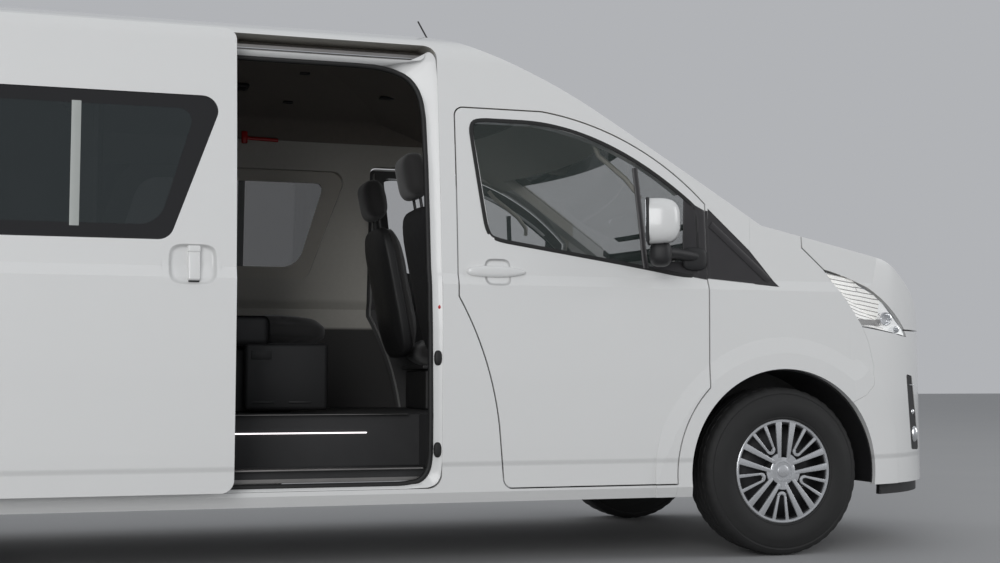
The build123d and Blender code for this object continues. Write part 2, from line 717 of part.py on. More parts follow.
# Front doors, made on the right and mirrored for the left
FRONT_HANDLE = (DOOR_REAR_X + 45.0, DOOR_REAR_X + 235.0, 1146.0, 1206.0)
FRONT_BAR = [(545.0, 1166.0), (752.0, 1166.0), (752.0, 1190.0), (545.0, 1190.0)]
hinge_cut = block(DOOR_FRONT_X - HINGE_FLANGE, 1700, -1200, 0, 200, 1900)
door_outline = side_prism(door_sketch(), -1200, -500)
door_step = side_prism(door_sketch(-DOOR_STEP), -1200, -500) - hinge_cut
door_hole = side_prism(door_window_sketch(), -1200, -500)
with BuildPart() as door_right:
    add(door_leaf(door_outline, door_step, door_hole))
    add(handle_cut(*FRONT_HANDLE, 11.0), mode=Mode.SUBTRACT)
    add(panel(0.0, 7.0, side_prism(polygon_sketch(FRONT_BAR, 8), -1200, -500)))
save(door_right.part, "door_right")
save(mirror(door_right.part, about=Plane.XZ), "door_left")
door_glass_right = panel(*PANE, side_prism(door_window_sketch(-SEAT_GAP), -1200, -500))
save(door_glass_right, "door_glass_right")
save(mirror(door_glass_right, about=Plane.XZ), "door_glass_left")

# Door mirrors: arm on the door's front corner, housing outboard
MIRROR_X = 1352.0
MIRROR_Y = (985.0, 1178.0)
MIRROR_Z = (1268.0, 1492.0)
mirror_mid = (-(MIRROR_Y[0] + MIRROR_Y[1]) / 2, (MIRROR_Z[0] + MIRROR_Z[1]) / 2)
mirror_size = (MIRROR_Y[1] - MIRROR_Y[0], MIRROR_Z[1] - MIRROR_Z[0])
with BuildPart() as mirror_right:
    with BuildSketch(Plane.YZ.offset(MIRROR_X)):
        with Locations(mirror_mid):
            RectangleRounded(*mirror_size, 48)
    with BuildSketch(Plane.YZ.offset(MIRROR_X + 88)):
        with Locations((mirror_mid[0] + 12, mirror_mid[1] - 6)):
            RectangleRounded(mirror_size[0] - 70, mirror_size[1] - 80, 40)
    loft()
    with BuildSketch(Plane.YZ.offset(MIRROR_X)):
        with Locations(mirror_mid):
            RectangleRounded(mirror_size[0] - 18, mirror_size[1] - 18, 40)
    extrude(amount=6, mode=Mode.SUBTRACT)
    with BuildSketch(Plane.XZ.offset(915)):
        with Locations((MIRROR_X + 40, 1160)):
            RectangleRounded(96, 56, 14)
    with BuildSketch(Plane.XZ.offset(1070)):
        with Locations((MIRROR_X + 42, 1312)):
            RectangleRounded(58, 48, 14)
    loft()
    add(body_form(), mode=Mode.SUBTRACT)
save(mirror_right.part, "mirror_right")
save(mirror(mirror_right.part, about=Plane.XZ), "mirror_left")

# Sliding door, standing open: it has moved out from the side and back along its rails
slide_outline = side_prism(slide_sketch(), -1200, -500)
slide_step = side_prism(slide_sketch(-DOOR_STEP), -1200, -500)
slide_hole = side_prism(slide_window_sketch(), -1200, -500)
SLIDE_HANDLE = (186.0, 330.0, 1130.0, 1226.0)
SLIDE_BAR = [(238.0, 1124.0), (276.0, 1124.0), (276.0, 1232.0), (238.0, 1232.0)]
with BuildPart() as slide_closed:
    add(door_leaf(slide_outline, slide_step, slide_hole))
    add(handle_cut(*SLIDE_HANDLE, 14.0), mode=Mode.SUBTRACT)
    add(panel(0.0, 7.0, side_prism(polygon_sketch(SLIDE_BAR, 10), -1200, -500)))
slide_open = Pos(-SLIDE_TRAVEL, -SLIDE_OUT, 0)
open_front_x = SLIDE_FRONT_X - SLIDE_TRAVEL
open_rear_x = SLIDE_REAR_X - SLIDE_TRAVEL
with BuildPart() as sliding_door:
    add(slide_open * slide_closed.part)
    add(block(open_front_x - 62, open_front_x - 27, -890, RAIL_TOP_Y[0] - SEAT_GAP, 2036, 2058))
    add(block(open_front_x - 80, open_front_x - 27, -990, RAIL_LOW_Y[0] + 20,
              RAIL_LOW_Z[0] - SEAT_GAP - 14, RAIL_LOW_Z[0] - SEAT_GAP))
    add(block(open_rear_x + 28, open_rear_x + 78, -975, -930, 1210, 1234)
        - (Pos(0, -RAIL_MID_PROUD - SEAT_GAP, 0) * outer))
save(sliding_door.part, "sliding_door")
slide_pane = panel(*PANE, side_prism(slide_window_sketch(-SEAT_GAP), -1200, -500))
save(slide_open * slide_pane, "sliding_door_glass")

# Rubber seal round the sliding door's opening
seal_outline = (side_prism(slide_sketch(SHUT_GAP - SEAT_GAP), -1200, -500)
                - side_prism(slide_sketch(-9.0), -1300, -400))
save(panel(6.0, 40.0, seal_outline), "door_seal")

# Tailgate and its glass
with BuildPart() as tailgate:
    add(gate_leaf)
    for y in GATE_HINGE_Y:
        for near in (y, -y):
            with BuildSketch(Plane.XZ.offset(-near - 30)):
                with Locations(GATE_HINGE):
                    Circle(GATE_TOP_Z + SHUT_GAP - SEAT_GAP - GATE_HINGE[1])
            extrude(amount=60)
    add(rear_prism(gate_window_sketch()), mode=Mode.SUBTRACT)
save(tailgate.part, "tailgate")
save(panel(*PANE, rear_prism(gate_window_sketch(-SEAT_GAP))), "tailgate_glass")

# Rear bumper and tail lamps
with BuildPart() as rear_bumper:
    add(skinned)
    add(block(TAIL_X - 60, REAR_BUMPER_X - SEAT_GAP, -1200, 1200, 250, BUMPER_TOP_Z - SEAT_GAP), mode=Mode.INTERSECT)
    add(skin, mode=Mode.SUBTRACT)
    add(arches, mode=Mode.SUBTRACT)
save(rear_bumper.part, "rear_bumper")
save(panel(0.0, TAIL_LAMP_BACK, tail_lamp_boxes()), "tail_lamps")

# Floor with step well, toe board, bulkhead and wheel housings
STEP_X = (-600.0, 425.0)
STEP_Y = -640.0
STEP_Z = 392.0
FLOOR_HALF = HALF - WALL - SEAT_GAP
BULKHEAD_X = 1690.0
BULKHEAD_TOP_Z = 1130.0
HOUSE_Y = 600.0
HOUSE_RADIUS = 424.0
FLOOR = [  # (x, z), top face from the rear, then the under face back
    (TAIL_X + 70.0, FLOOR_Z),
    (1420.0, FLOOR_Z),
    (BULKHEAD_X, 830.0),
    (BULKHEAD_X, BULKHEAD_TOP_Z),
    (BULKHEAD_X + FLOOR_T, BULKHEAD_TOP_Z),
    (BULKHEAD_X + FLOOR_T, 808.0),
    (1440.0, FLOOR_Z - FLOOR_T),
    (TAIL_X + 70.0, FLOOR_Z - FLOOR_T),
]
with BuildPart() as floor_pan:
    add(side_prism(polygon_sketch(FLOOR), -FLOOR_HALF, FLOOR_HALF))
    for near, far in ((HOUSE_Y, FLOOR_HALF), (-FLOOR_HALF, -HOUSE_Y)):
        add(axle_ring(REAR_AXLE_X, 0, HOUSE_RADIUS, near, far)
            & block(-2400, -1400, -1000, 1000, FLOOR_Z - FLOOR_T, 900))
    for near, far in ((HOUSE_Y + 6, 1200), (-1200, -HOUSE_Y - 6)):
        add(axle_ring(REAR_AXLE_X, 0, HOUSE_RADIUS - 8, near, far), mode=Mode.SUBTRACT)
        add(axle_ring(FRONT_AXLE_X, 0, ARCH_RADIUS + 3, near, far), mode=Mode.SUBTRACT)
    add(block(*STEP_X, -1000, STEP_Y, 500, 700), mode=Mode.SUBTRACT)
    add(block(STEP_X[0] - 4, STEP_X[1] + 4, -FLOOR_HALF, STEP_Y + 4, STEP_Z - 30, FLOOR_Z - FLOOR_T))
    add(block(*STEP_X, -1000, STEP_Y, STEP_Z, 700), mode=Mode.SUBTRACT)
    add(body_form(WALL + SEAT_GAP), mode=Mode.INTERSECT)
save(floor_pan.part, "floor_pan")

# Headliner under the roof
with BuildPart() as headliner:
    add(panel(WALL + SEAT_GAP, WALL + 9.0, block(-2790, 1250, -1000, 1000, 1965, 2300)))
    add(block(SLIDE_REAR_X - 12, SLIDE_FRONT_X + 12, -1000, RAIL_TOP_Y[1] + 2, 1900, 2300), mode=Mode.SUBTRACT)
save(headliner.part, "headliner")

# Dashboard and steering column cover
DASH = [(1395.0, 1010.0), (1420.0, 1190.0), (1520.0, 1250.0), (1780.0, 1262.0),
        (1780.0, 1152.0), (1670.0, 1152.0), (1670.0, 860.0), (1560.0, 800.0)]
COLUMN_AXIS = (-cos(radians(COLUMN_TILT)), 0.0, sin(radians(COLUMN_TILT)))
wheel_plane = Plane(
    origin=(STEERING_WHEEL_X, DRIVER_Y, STEERING_WHEEL_Z), x_dir=(0, 1, 0), z_dir=COLUMN_AXIS)
with BuildPart() as dashboard:
    add(side_prism(polygon_sketch(DASH, 18), -FLOOR_HALF, FLOOR_HALF))
    with BuildSketch(wheel_plane.offset(-30)):
        Circle(34)
    extrude(amount=-190)
    add(body_form(WALL + SEAT_GAP), mode=Mode.INTERSECT)
save(dashboard.part, "dashboard")

# Steering wheel: rim, three spokes and hub
RIM_SECTION = 16.0
with BuildPart() as steering_wheel:
    rim_plane = Plane(origin=wheel_plane.origin, x_dir=(0, 1, 0), z_dir=COLUMN_AXIS)
    with BuildSketch(Plane(origin=wheel_plane.origin, x_dir=(0, 1, 0), z_dir=wheel_plane.y_dir)):
        with Locations((STEERING_WHEEL_RADIUS - RIM_SECTION, 0)):
            Circle(RIM_SECTION)
    revolve(axis=Axis(wheel_plane.origin, wheel_plane.z_dir))
    with BuildSketch(rim_plane.offset(-24)):
        Circle(62)
        for turn in (0.0, 180.0, 270.0):
            with Locations(Rotation(0, 0, turn)):
                with Locations((STEERING_WHEEL_RADIUS / 2 - RIM_SECTION / 2, 0)):
                    Rectangle(STEERING_WHEEL_RADIUS - RIM_SECTION, 34)
    extrude(amount=20)
    with BuildSketch(rim_plane.offset(-29.5)):
        Circle(26)
    extrude(amount=6)
save(steering_wheel.part, "steering_wheel")


def seat_solid(front_x, low_z, y, width, depth=480.0, back=640.0, head=True):
    """Seat with cushion, leaning back and head restraint in one solid, facing forward."""
    side = [
        (front_x, low_z + 30), (front_x - 15, low_z + 135), (front_x - depth + 60, low_z + 118),
        (front_x - depth - back * 0.2, low_z + back + 60),
        (front_x - depth - back * 0.2 - 85, low_z + back + 40),
        (front_x - depth - 75, low_z + 60), (front_x - depth - 20, low_z),
        (front_x - 40, low_z),
    ]
    with BuildPart() as seat:
        add(side_prism(polygon_sketch(side, 14), y - width / 2, y + width / 2))
        if head:
            top = (front_x - depth - back * 0.2 - 40, low_z + back + 48)
            count = max(1, round(width / 480))
            for k in range(count):
                y_head = y + (k - (count - 1) / 2) * width / count
                add(block(top[0] - 14, top[0] + 8, y_head - 60, y_head + 60, top[1] - 20, top[1] + 50))
                add(block(top[0] - 55, top[0] + 45, y_head - 125, y_head + 125, top[1] + 30, top[1] + 215, 28))
    return seat.part


# Seats: two in front, then four rows that leave an aisle to the sliding door
FRONT_SEAT_Z = 790.0
FRONT_SEAT_X = 1130.0
SEAT_BASE_TOP = FRONT_SEAT_Z - SEAT_GAP
with BuildPart() as front_seats:
    for y in (DRIVER_Y, -DRIVER_Y):
        add(seat_solid(FRONT_SEAT_X, FRONT_SEAT_Z, y, 520.0))
save(front_seats.part, "front_seats")

ROWS = [  # (front of the cushion, seat centres and widths across the van)
    (60.0, ((300.0, 1000.0),)),
    (-680.0, ((330.0, 960.0), (-590.0, 460.0))),
    (-1400.0, ((330.0, 960.0), (-590.0, 460.0))),
    (-2110.0, ((0.0, 1640.0),)),
]
BASE_LIMIT_Y = 592.0
ROW_SEAT_Z = 880.0
with BuildPart() as passenger_seats:
    for front_x, seats in ROWS:
        for y, width in seats:
            add(seat_solid(front_x, ROW_SEAT_Z, y, width, 440.0, 600.0))
save(passenger_seats.part, "passenger_seats")
with BuildPart() as seat_bases:
    for y in (DRIVER_Y, -DRIVER_Y):
        add(block(660, 1070, y - 215, y + 215, FLOOR_Z, SEAT_BASE_TOP, 12))
    for front_x, seats in ROWS:
        for y, width in seats:
            low = max(y - width / 2 + 60, -BASE_LIMIT_Y)
            high = min(y + width / 2 - 60, BASE_LIMIT_Y)
            add(block(front_x - 420, front_x - 90, low, high, FLOOR_Z, ROW_SEAT_Z - SEAT_GAP, 10))
save(seat_bases.part, "seat_bases")

# Rails that carry the sliding door
rail_space = block(SLIDE_REAR_X + 30, SLIDE_FRONT_X - 20, *RAIL_TOP_Y, 2020, 2200)
mid_space = block(SLIDE_REAR_X - SLIDE_TRAVEL - 40, SLIDE_REAR_X - 14, -1100, -800, *RAIL_MID_Z)
with BuildPart() as door_rails:
    add(rail_space & body_form(WALL + SEAT_GAP))
    add((mid_space & (Pos(0, -RAIL_MID_PROUD, 0) * outer)) - outer)
    add(block(*STEP_X, *RAIL_LOW_Y, *RAIL_LOW_Z))
save(door_rails.part, "sliding_door_rails")

# Engine and radiator, plain blocks
RAIL_Y = 430.0
RAIL_HALF = 35.0
RAIL_TOP = FLOOR_Z - FLOOR_T
RAIL_LOW = RAIL_TOP - 110.0
CROSS_LOW = RAIL_LOW + 20.0
CROSS_HALF = 35.0
CROSSMEMBERS = (-2780.0, -1300.0, -300.0, 700.0, 1500.0, 2650.0)
MOUNT_Y = RAIL_Y - RAIL_HALF - SEAT_GAP
PROPSHAFT_END_X = 1262.5
with BuildPart() as engine:
    add(block(1800, 2440, -270, 270, 440, 1060, 20))
    add(block(PROPSHAFT_END_X + SEAT_GAP, 1900, -110, 110, 320, CROSS_LOW - SEAT_GAP))
    add(block(1990, 2070, -MOUNT_Y, MOUNT_Y, 500, 540))
    add(block(2535, CROSSMEMBERS[-1] - CROSS_HALF - SEAT_GAP, -350, 350, 420, 930))
save(engine.part, "engine")

# Underbody frame: two rails with crossmembers
with BuildPart() as underbody_frame:
    for y in (RAIL_Y, -RAIL_Y):
        add(block(TAIL_X + 110, 2700, y - RAIL_HALF, y + RAIL_HALF, RAIL_LOW, RAIL_TOP))
    for x in CROSSMEMBERS:
        add(block(x - CROSS_HALF, x + CROSS_HALF, -RAIL_Y, RAIL_Y, CROSS_LOW, RAIL_TOP - 8))
save(underbody_frame.part, "underbody_frame")


# Wheels: tyre, rim with cover, for the four corners
TYRE_BORE = RIM_RADIUS + SEAT_GAP
RIM_INSET = 22.0
SPOKE_GROUPS = 5


def tyre_solid(x, y):
    """Tyre with rounded shoulders and bulging walls, stepped where the cover sits."""
    half = TYRE_WIDTH / 2
    bead = RIM_INSET + SEAT_GAP
    seat = COVER_RADIUS + SEAT_GAP
    with BuildPart() as tyre:
        with BuildSketch(Plane(origin=(x, y, AXLE_Z), x_dir=(1, 0, 0), z_dir=(0, 0, 1))):
            with BuildLine():
                Polyline((TYRE_BORE, bead - half), (TYRE_BORE, half - bead), (seat, half - bead), (seat, half - 12))
                ThreePointArc((seat, half - 12), (RIM_RADIUS + 62, half), (TYRE_RADIUS - 32, half - 12))
                ThreePointArc((TYRE_RADIUS - 32, half - 12), (TYRE_RADIUS - 9, half - 20),
                              (TYRE_RADIUS - 1, half - 42))
                ThreePointArc((TYRE_RADIUS - 1, half - 42), (TYRE_RADIUS, 0), (TYRE_RADIUS - 1, 42 - half))
                ThreePointArc((TYRE_RADIUS - 1, 42 - half), (TYRE_RADIUS - 9, 20 - half),
                              (TYRE_RADIUS - 32, 12 - half))
                ThreePointArc((TYRE_RADIUS - 32, 12 - half), (RIM_RADIUS + 62, -half), (seat, 12 - half))
                Polyline((seat, 12 - half), (seat, bead - half), (TYRE_BORE, bead - half))
            make_face()
        revolve(axis=Axis((x, y, AXLE_Z), (0, 1, 0)))
    return tyre.part


def wheel_solid(x, y, outward):
    """Rim barrel, disc with spokes between rings, and hub cap; outward is +1 or -1."""
    half = TYRE_WIDTH / 2 - RIM_INSET
    wheel_side = Plane(origin=(x, y, AXLE_Z), x_dir=(1, 0, 0), z_dir=(0, outward, 0))
    with BuildPart() as wheel:
        with BuildSketch(Plane(origin=(x, y, AXLE_Z), x_dir=(1, 0, 0), z_dir=(0, 0, 1))):
            with Locations((RIM_RADIUS - RIM_WALL / 2, 0)):
                Rectangle(RIM_WALL, 2 * half)
        revolve(axis=Axis((x, y, AXLE_Z), (0, 1, 0)))
        with BuildSketch(wheel_side.offset(half)):
            Circle(COVER_RADIUS)
        extrude(amount=10)
        with BuildSketch(wheel_side.offset(half - 1)):
            with PolarLocations(0, SPOKE_GROUPS, 90):
                add(spoke_gaps())
        extrude(amount=12, mode=Mode.SUBTRACT)
        with BuildSketch(wheel_side.offset(half + 9)):
            Circle(36)
        extrude(amount=8, taper=20)
        with BuildSketch(wheel_side.offset(half)):
            Circle(60)
        extrude(amount=-50)
    return wheel.part


def spoke_gaps():
    """Four gaps of one group: beside and between the long pair, and in the short pair."""
    gaps = [  # (angle from, angle to, inner radius, outer radius), degrees and mm
        (-4.0, 4.0, 92.0, 196.0),
        (13.0, 23.5, 104.0, 194.0),
        (30.5, 41.5, 126.0, 194.0),
        (48.5, 59.0, 104.0, 194.0),
    ]
    with BuildSketch() as sketch:
        for start, end, low, high in gaps:
            with BuildLine():
                a, b = radians(start), radians(end)
                Polyline(
                    (low * cos(a), low * sin(a)), (high * cos(a), high * sin(a)),
                    (high * cos(b), high * sin(b)), (low * cos(b), low * sin(b)), close=True)
            make_face()
    return sketch.sketch


CORNERS = [  # (name, axle, side: +1 left, -1 right)
    ("front_left", FRONT_AXLE_X, 1),
    ("front_right", FRONT_AXLE_X, -1),
    ("rear_left", REAR_AXLE_X, 1),
    ("rear_right", REAR_AXLE_X, -1),
]
for corner, axle_x, side in CORNERS:
    save(tyre_solid(axle_x, side * WHEEL_Y), f"tyre_{corner}")
    save(wheel_solid(axle_x, side * WHEEL_Y, side), f"wheel_{corner}")

# Knuckles: hub carrier with upper and lower ball joints and a dust shield
BALL_REACH = 128.0
HUB_INNER = WHEEL_Y + TYRE_WIDTH / 2 - RIM_INSET - 50 - SEAT_GAP


def knuckle_solid(side):
    """Hub carrier on the kingpin line, its face against the wheel's hub."""
    with BuildPart() as knuckle:
        with BuildSketch(Plane(origin=(FRONT_AXLE_X, side * HUB_INNER, AXLE_Z), x_dir=(1, 0, 0),
                               z_dir=(0, -side, 0))):
            Circle(48)
        extrude(amount=HUB_INNER - KINGPIN_Y + 20)
        with BuildSketch(Plane(origin=(FRONT_AXLE_X, side * (KINGPIN_Y + 34), AXLE_Z), x_dir=(1, 0, 0),
                               z_dir=(0, -side, 0))):
            Circle(BALL_REACH - 8)
        extrude(amount=5)
        with BuildSketch(Plane.XY.offset(AXLE_Z - BALL_REACH + SEAT_GAP)):
            with Locations((FRONT_AXLE_X, side * KINGPIN_Y)):
                Circle(23)
        extrude(amount=2 * (BALL_REACH - SEAT_GAP))
    return knuckle.part


save(knuckle_solid(1), "knuckle_left")
save(knuckle_solid(-1), "knuckle_right")

# Front suspension: upper and lower arms from side brackets to the kingpins, and a crossmember
ARM_T = 24.0
BRACKET_Y = RAIL_Y + RAIL_HALF + SEAT_GAP
with BuildPart() as front_suspension:
    for side in (1, -1):
        for z in (AXLE_Z - BALL_REACH - ARM_T, AXLE_Z + BALL_REACH):
            with BuildSketch(Plane.XY.offset(z)):
                with BuildLine():
                    Polyline(
                        (FRONT_AXLE_X - 26, side * (KINGPIN_Y + 26)),
                        (FRONT_AXLE_X + 26, side * (KINGPIN_Y + 26)),
                        (FRONT_AXLE_X + 130, side * (BRACKET_Y + 10)),
                        (FRONT_AXLE_X - 130, side * (BRACKET_Y + 10)),
                        close=True)
                make_face()
            extrude(amount=ARM_T)
    for y0, y1 in ((BRACKET_Y, BRACKET_Y + 26), (-BRACKET_Y - 26, -BRACKET_Y)):
        add(block(FRONT_AXLE_X - 120, FRONT_AXLE_X + 120, y0, y1, 205, AXLE_Z + BALL_REACH + ARM_T))
    add(block(FRONT_AXLE_X - 140, FRONT_AXLE_X + 140, -BRACKET_Y - 26, BRACKET_Y + 26, 205, 245))
save(front_suspension.part, "front_suspension")

# Rear axle with differential and propeller shaft, on leaf springs under the rails
SPRING_Y = 500.0
SPRING_HALF = 32.0
SPRING_EYE_X = 640.0
with BuildPart() as rear_axle:
    with BuildSketch(Plane(origin=(REAR_AXLE_X, HUB_INNER, AXLE_Z), x_dir=(1, 0, 0), z_dir=(0, -1, 0))):
        Circle(42)
    extrude(amount=2 * HUB_INNER)
    with BuildSketch(Plane(origin=(REAR_AXLE_X, 0, AXLE_Z), x_dir=(1, 0, 0), z_dir=(0, 1, 0))):
        Circle(140)
    extrude(amount=70, both=True, taper=18)
    with BuildSketch(Plane(origin=(REAR_AXLE_X, 0, AXLE_Z + 20), x_dir=(0, 1, 0), z_dir=(1, 0, 0))):
        Circle(34)
    extrude(amount=PROPSHAFT_END_X - REAR_AXLE_X)
    for y in (SPRING_Y, -SPRING_Y):
        with BuildSketch(Plane.XZ.offset(-y - SPRING_HALF)):
            with BuildLine():
                rear_eye, front_eye = REAR_AXLE_X - SPRING_EYE_X, REAR_AXLE_X + SPRING_EYE_X
                ThreePointArc((rear_eye, 470), (REAR_AXLE_X, 405), (front_eye, 470))
                Line((front_eye, 470), (front_eye, 500))
                ThreePointArc((front_eye, 500), (REAR_AXLE_X, 443), (rear_eye, 500))
                Line((rear_eye, 500), (rear_eye, 470))
            make_face()
        extrude(amount=2 * SPRING_HALF)
        for x in (rear_eye + 30, front_eye - 30):
            add(block(x - 25, x + 25, y - SPRING_HALF, y + SPRING_HALF, 480, RAIL_TOP - SEAT_GAP))
        add(block(REAR_AXLE_X - 60, REAR_AXLE_X + 60, y - 36, y + 36, AXLE_Z + 20, 430))
save(rear_axle.part, "rear_axle")

# Fuel tank and exhaust
with BuildPart() as fuel_tank:
    add(block(-560, 520, 120, 385, 270, RAIL_LOW - 1, 30))
    for x in (-380, 340):
        add(block(x - 25, x + 25, 320, MOUNT_Y, 400, RAIL_LOW + 60))
save(fuel_tank.part, "fuel_tank")
PIPE_Y = -240.0
PIPE_RADIUS = 28.0
TIP_RADIUS = 30.0
TIP_LENGTH = 90.0
PIPE = [  # (x, z) of the bends, front to rear
    (1960.0, 440.0 - PIPE_RADIUS - SEAT_GAP),
    (1760.0, 440.0 - PIPE_RADIUS - SEAT_GAP),
    (1250.0, 330.0),
    (-1150.0, 330.0),
    (-1640.0, 462.0),
    (-2180.0, 462.0),
    (-2600.0, 262.0),
    (-2900.0, 214.0),
]
with BuildPart() as exhaust:
    with BuildLine() as run:
        FilletPolyline(*[(x, PIPE_Y, z) for x, z in PIPE], radius=70)
    with BuildSketch(Plane(origin=run.line @ 0, z_dir=run.line % 0)):
        Circle(PIPE_RADIUS)
    sweep()
    with BuildSketch(Plane(origin=run.line @ 1, z_dir=-(run.line % 1))):
        Circle(TIP_RADIUS)
    extrude(amount=TIP_LENGTH)
    with BuildSketch(Plane(origin=run.line @ 1, z_dir=-(run.line % 1))):
        Circle(PIPE_RADIUS - 3)
    extrude(amount=TIP_LENGTH - 10, mode=Mode.SUBTRACT)
    add(block(-900, -100, -370, -130, 262, 400, 30))
    for x in (CROSSMEMBERS[0], CROSSMEMBERS[2], CROSSMEMBERS[3]):
        add(block(x - 12, x + 12, PIPE_Y - 12, PIPE_Y + 12, 330, CROSS_LOW - SEAT_GAP))
    add(block(CROSSMEMBERS[0] - 12, CROSSMEMBERS[0] + 12, PIPE_Y - 12, PIPE_Y + 12, 240, 340))
save(exhaust.part, "exhaust")

# Liners of the front wheel arches
with BuildPart() as wheel_liners:
    for near, far in ((HOUSE_Y, 935.0), (-935.0, -HOUSE_Y)):
        add(axle_ring(FRONT_AXLE_X, ARCH_RADIUS - 6, ARCH_RADIUS - SEAT_GAP, near, far))
    add(block(1400, 2600, -1000, 1000, -100, 300), mode=Mode.SUBTRACT)
save(wheel_liners.part, "wheel_liners")

# Wipers and antenna
with BuildPart() as wipers:
    for y in (60.0, 640.0):
        add(panel(0.0, GLASS_SET, block(1800, 1990, y - 560, y, 1480, 1500) & windscreen_prism()))
save(wipers.part, "wipers")
with BuildPart() as antenna:
    with BuildSketch(Plane(origin=(560, -420, 2150), x_dir=(0, 1, 0), z_dir=(-0.5, 0, 0.866))):
        Circle(3.5)
    extrude(amount=190)
    with BuildSketch(Plane.XY.offset(2150)):
        with Locations((540, -420)):
            Ellipse(38, 20)
    extrude(amount=66, taper=16)
    add(body_form(), mode=Mode.SUBTRACT)
save(antenna.part, "antenna")

# Fuel flap on the left side
with BuildPart() as fuel_flap:
    add(panel(0.0, FLAP_SKIN, side_prism(polygon_sketch(FLAP, 25), 500, 1200)))
    with BuildSketch(Plane.XY.offset(FLAP[0][1] + 35)):
        with Locations((FLAP[1][0], FLAP_HINGE_Y)):
            Circle(FLAP_GAP - SEAT_GAP)
    extrude(amount=70)
save(fuel_flap.part, "fuel_flap")
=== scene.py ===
from math import atan2, copysign, cos, exp, pi, radians, sin

import bmesh
import bpy
from mathutils import Matrix, Vector
from mathutils.bvhtree import BVHTree


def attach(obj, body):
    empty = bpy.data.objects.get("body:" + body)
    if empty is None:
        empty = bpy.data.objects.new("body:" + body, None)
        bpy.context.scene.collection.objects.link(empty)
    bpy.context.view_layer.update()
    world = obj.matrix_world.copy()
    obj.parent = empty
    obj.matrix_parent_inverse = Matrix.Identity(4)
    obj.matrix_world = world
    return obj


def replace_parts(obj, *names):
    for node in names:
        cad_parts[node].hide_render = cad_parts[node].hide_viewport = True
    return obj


bl_info = {
    "name": "Passenger van dressing",
    "version": (1, 0, 0),
    "blender": (4, 5, 0),
    "location": "3D View > Sidebar > Van",
    "description": "Gives the passenger van its paint, glass, wheels, lamps, seats and cabin trim",
    "category": "Object",
}

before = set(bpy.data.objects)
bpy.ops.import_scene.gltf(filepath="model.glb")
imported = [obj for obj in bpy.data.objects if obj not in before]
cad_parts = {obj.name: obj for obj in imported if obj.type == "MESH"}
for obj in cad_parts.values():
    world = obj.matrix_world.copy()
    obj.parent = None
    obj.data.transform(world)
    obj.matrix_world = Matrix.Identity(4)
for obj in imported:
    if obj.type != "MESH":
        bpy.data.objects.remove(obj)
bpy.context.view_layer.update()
BODY = "van"
SIDES = ((-1, "right"), (1, "left"))


class Value:
    """A number that varies over a surface; expressions on it add the nodes they need."""

    def __init__(self, finish, socket):
        self.finish = finish
        self.socket = socket

    def math(self, operation, first, second):
        node = self.finish.node("ShaderNodeMath", {"operation": operation}, {0: first, 1: second})
        return Value(self.finish, node.outputs[0])

    def __add__(self, other):
        return self.math("ADD", self, other)

    def __radd__(self, other):
        return self.math("ADD", other, self)

    def __sub__(self, other):
        return self.math("SUBTRACT", self, other)

    def __rsub__(self, other):
        return self.math("SUBTRACT", other, self)

    def __mul__(self, other):
        return self.math("MULTIPLY", self, other)

    __rmul__ = __mul__

    def __truediv__(self, other):
        return self.math("DIVIDE", self, other)

    def __gt__(self, other):
        return self.math("GREATER_THAN", self, other)

    def __lt__(self, other):
        return self.math("LESS_THAN", self, other)

    def __abs__(self):
        return self.math("ABSOLUTE", self, 0.0)

    def root(self):
        return self.math("SQRT", self, 0.0)

    def larger(self, other):
        return self.math("MAXIMUM", self, other)

    def smaller(self, other):
        return self.math("MINIMUM", self, other)

    def wave(self, length):
        """A sawtooth from 0 to 1 that repeats after each length."""
        return self.math("FRACT", self / length, 0.0)


# Sockets of a Mix node that blends colours.
COLOUR_A, COLOUR_B, COLOUR_OUT = 6, 7, 2


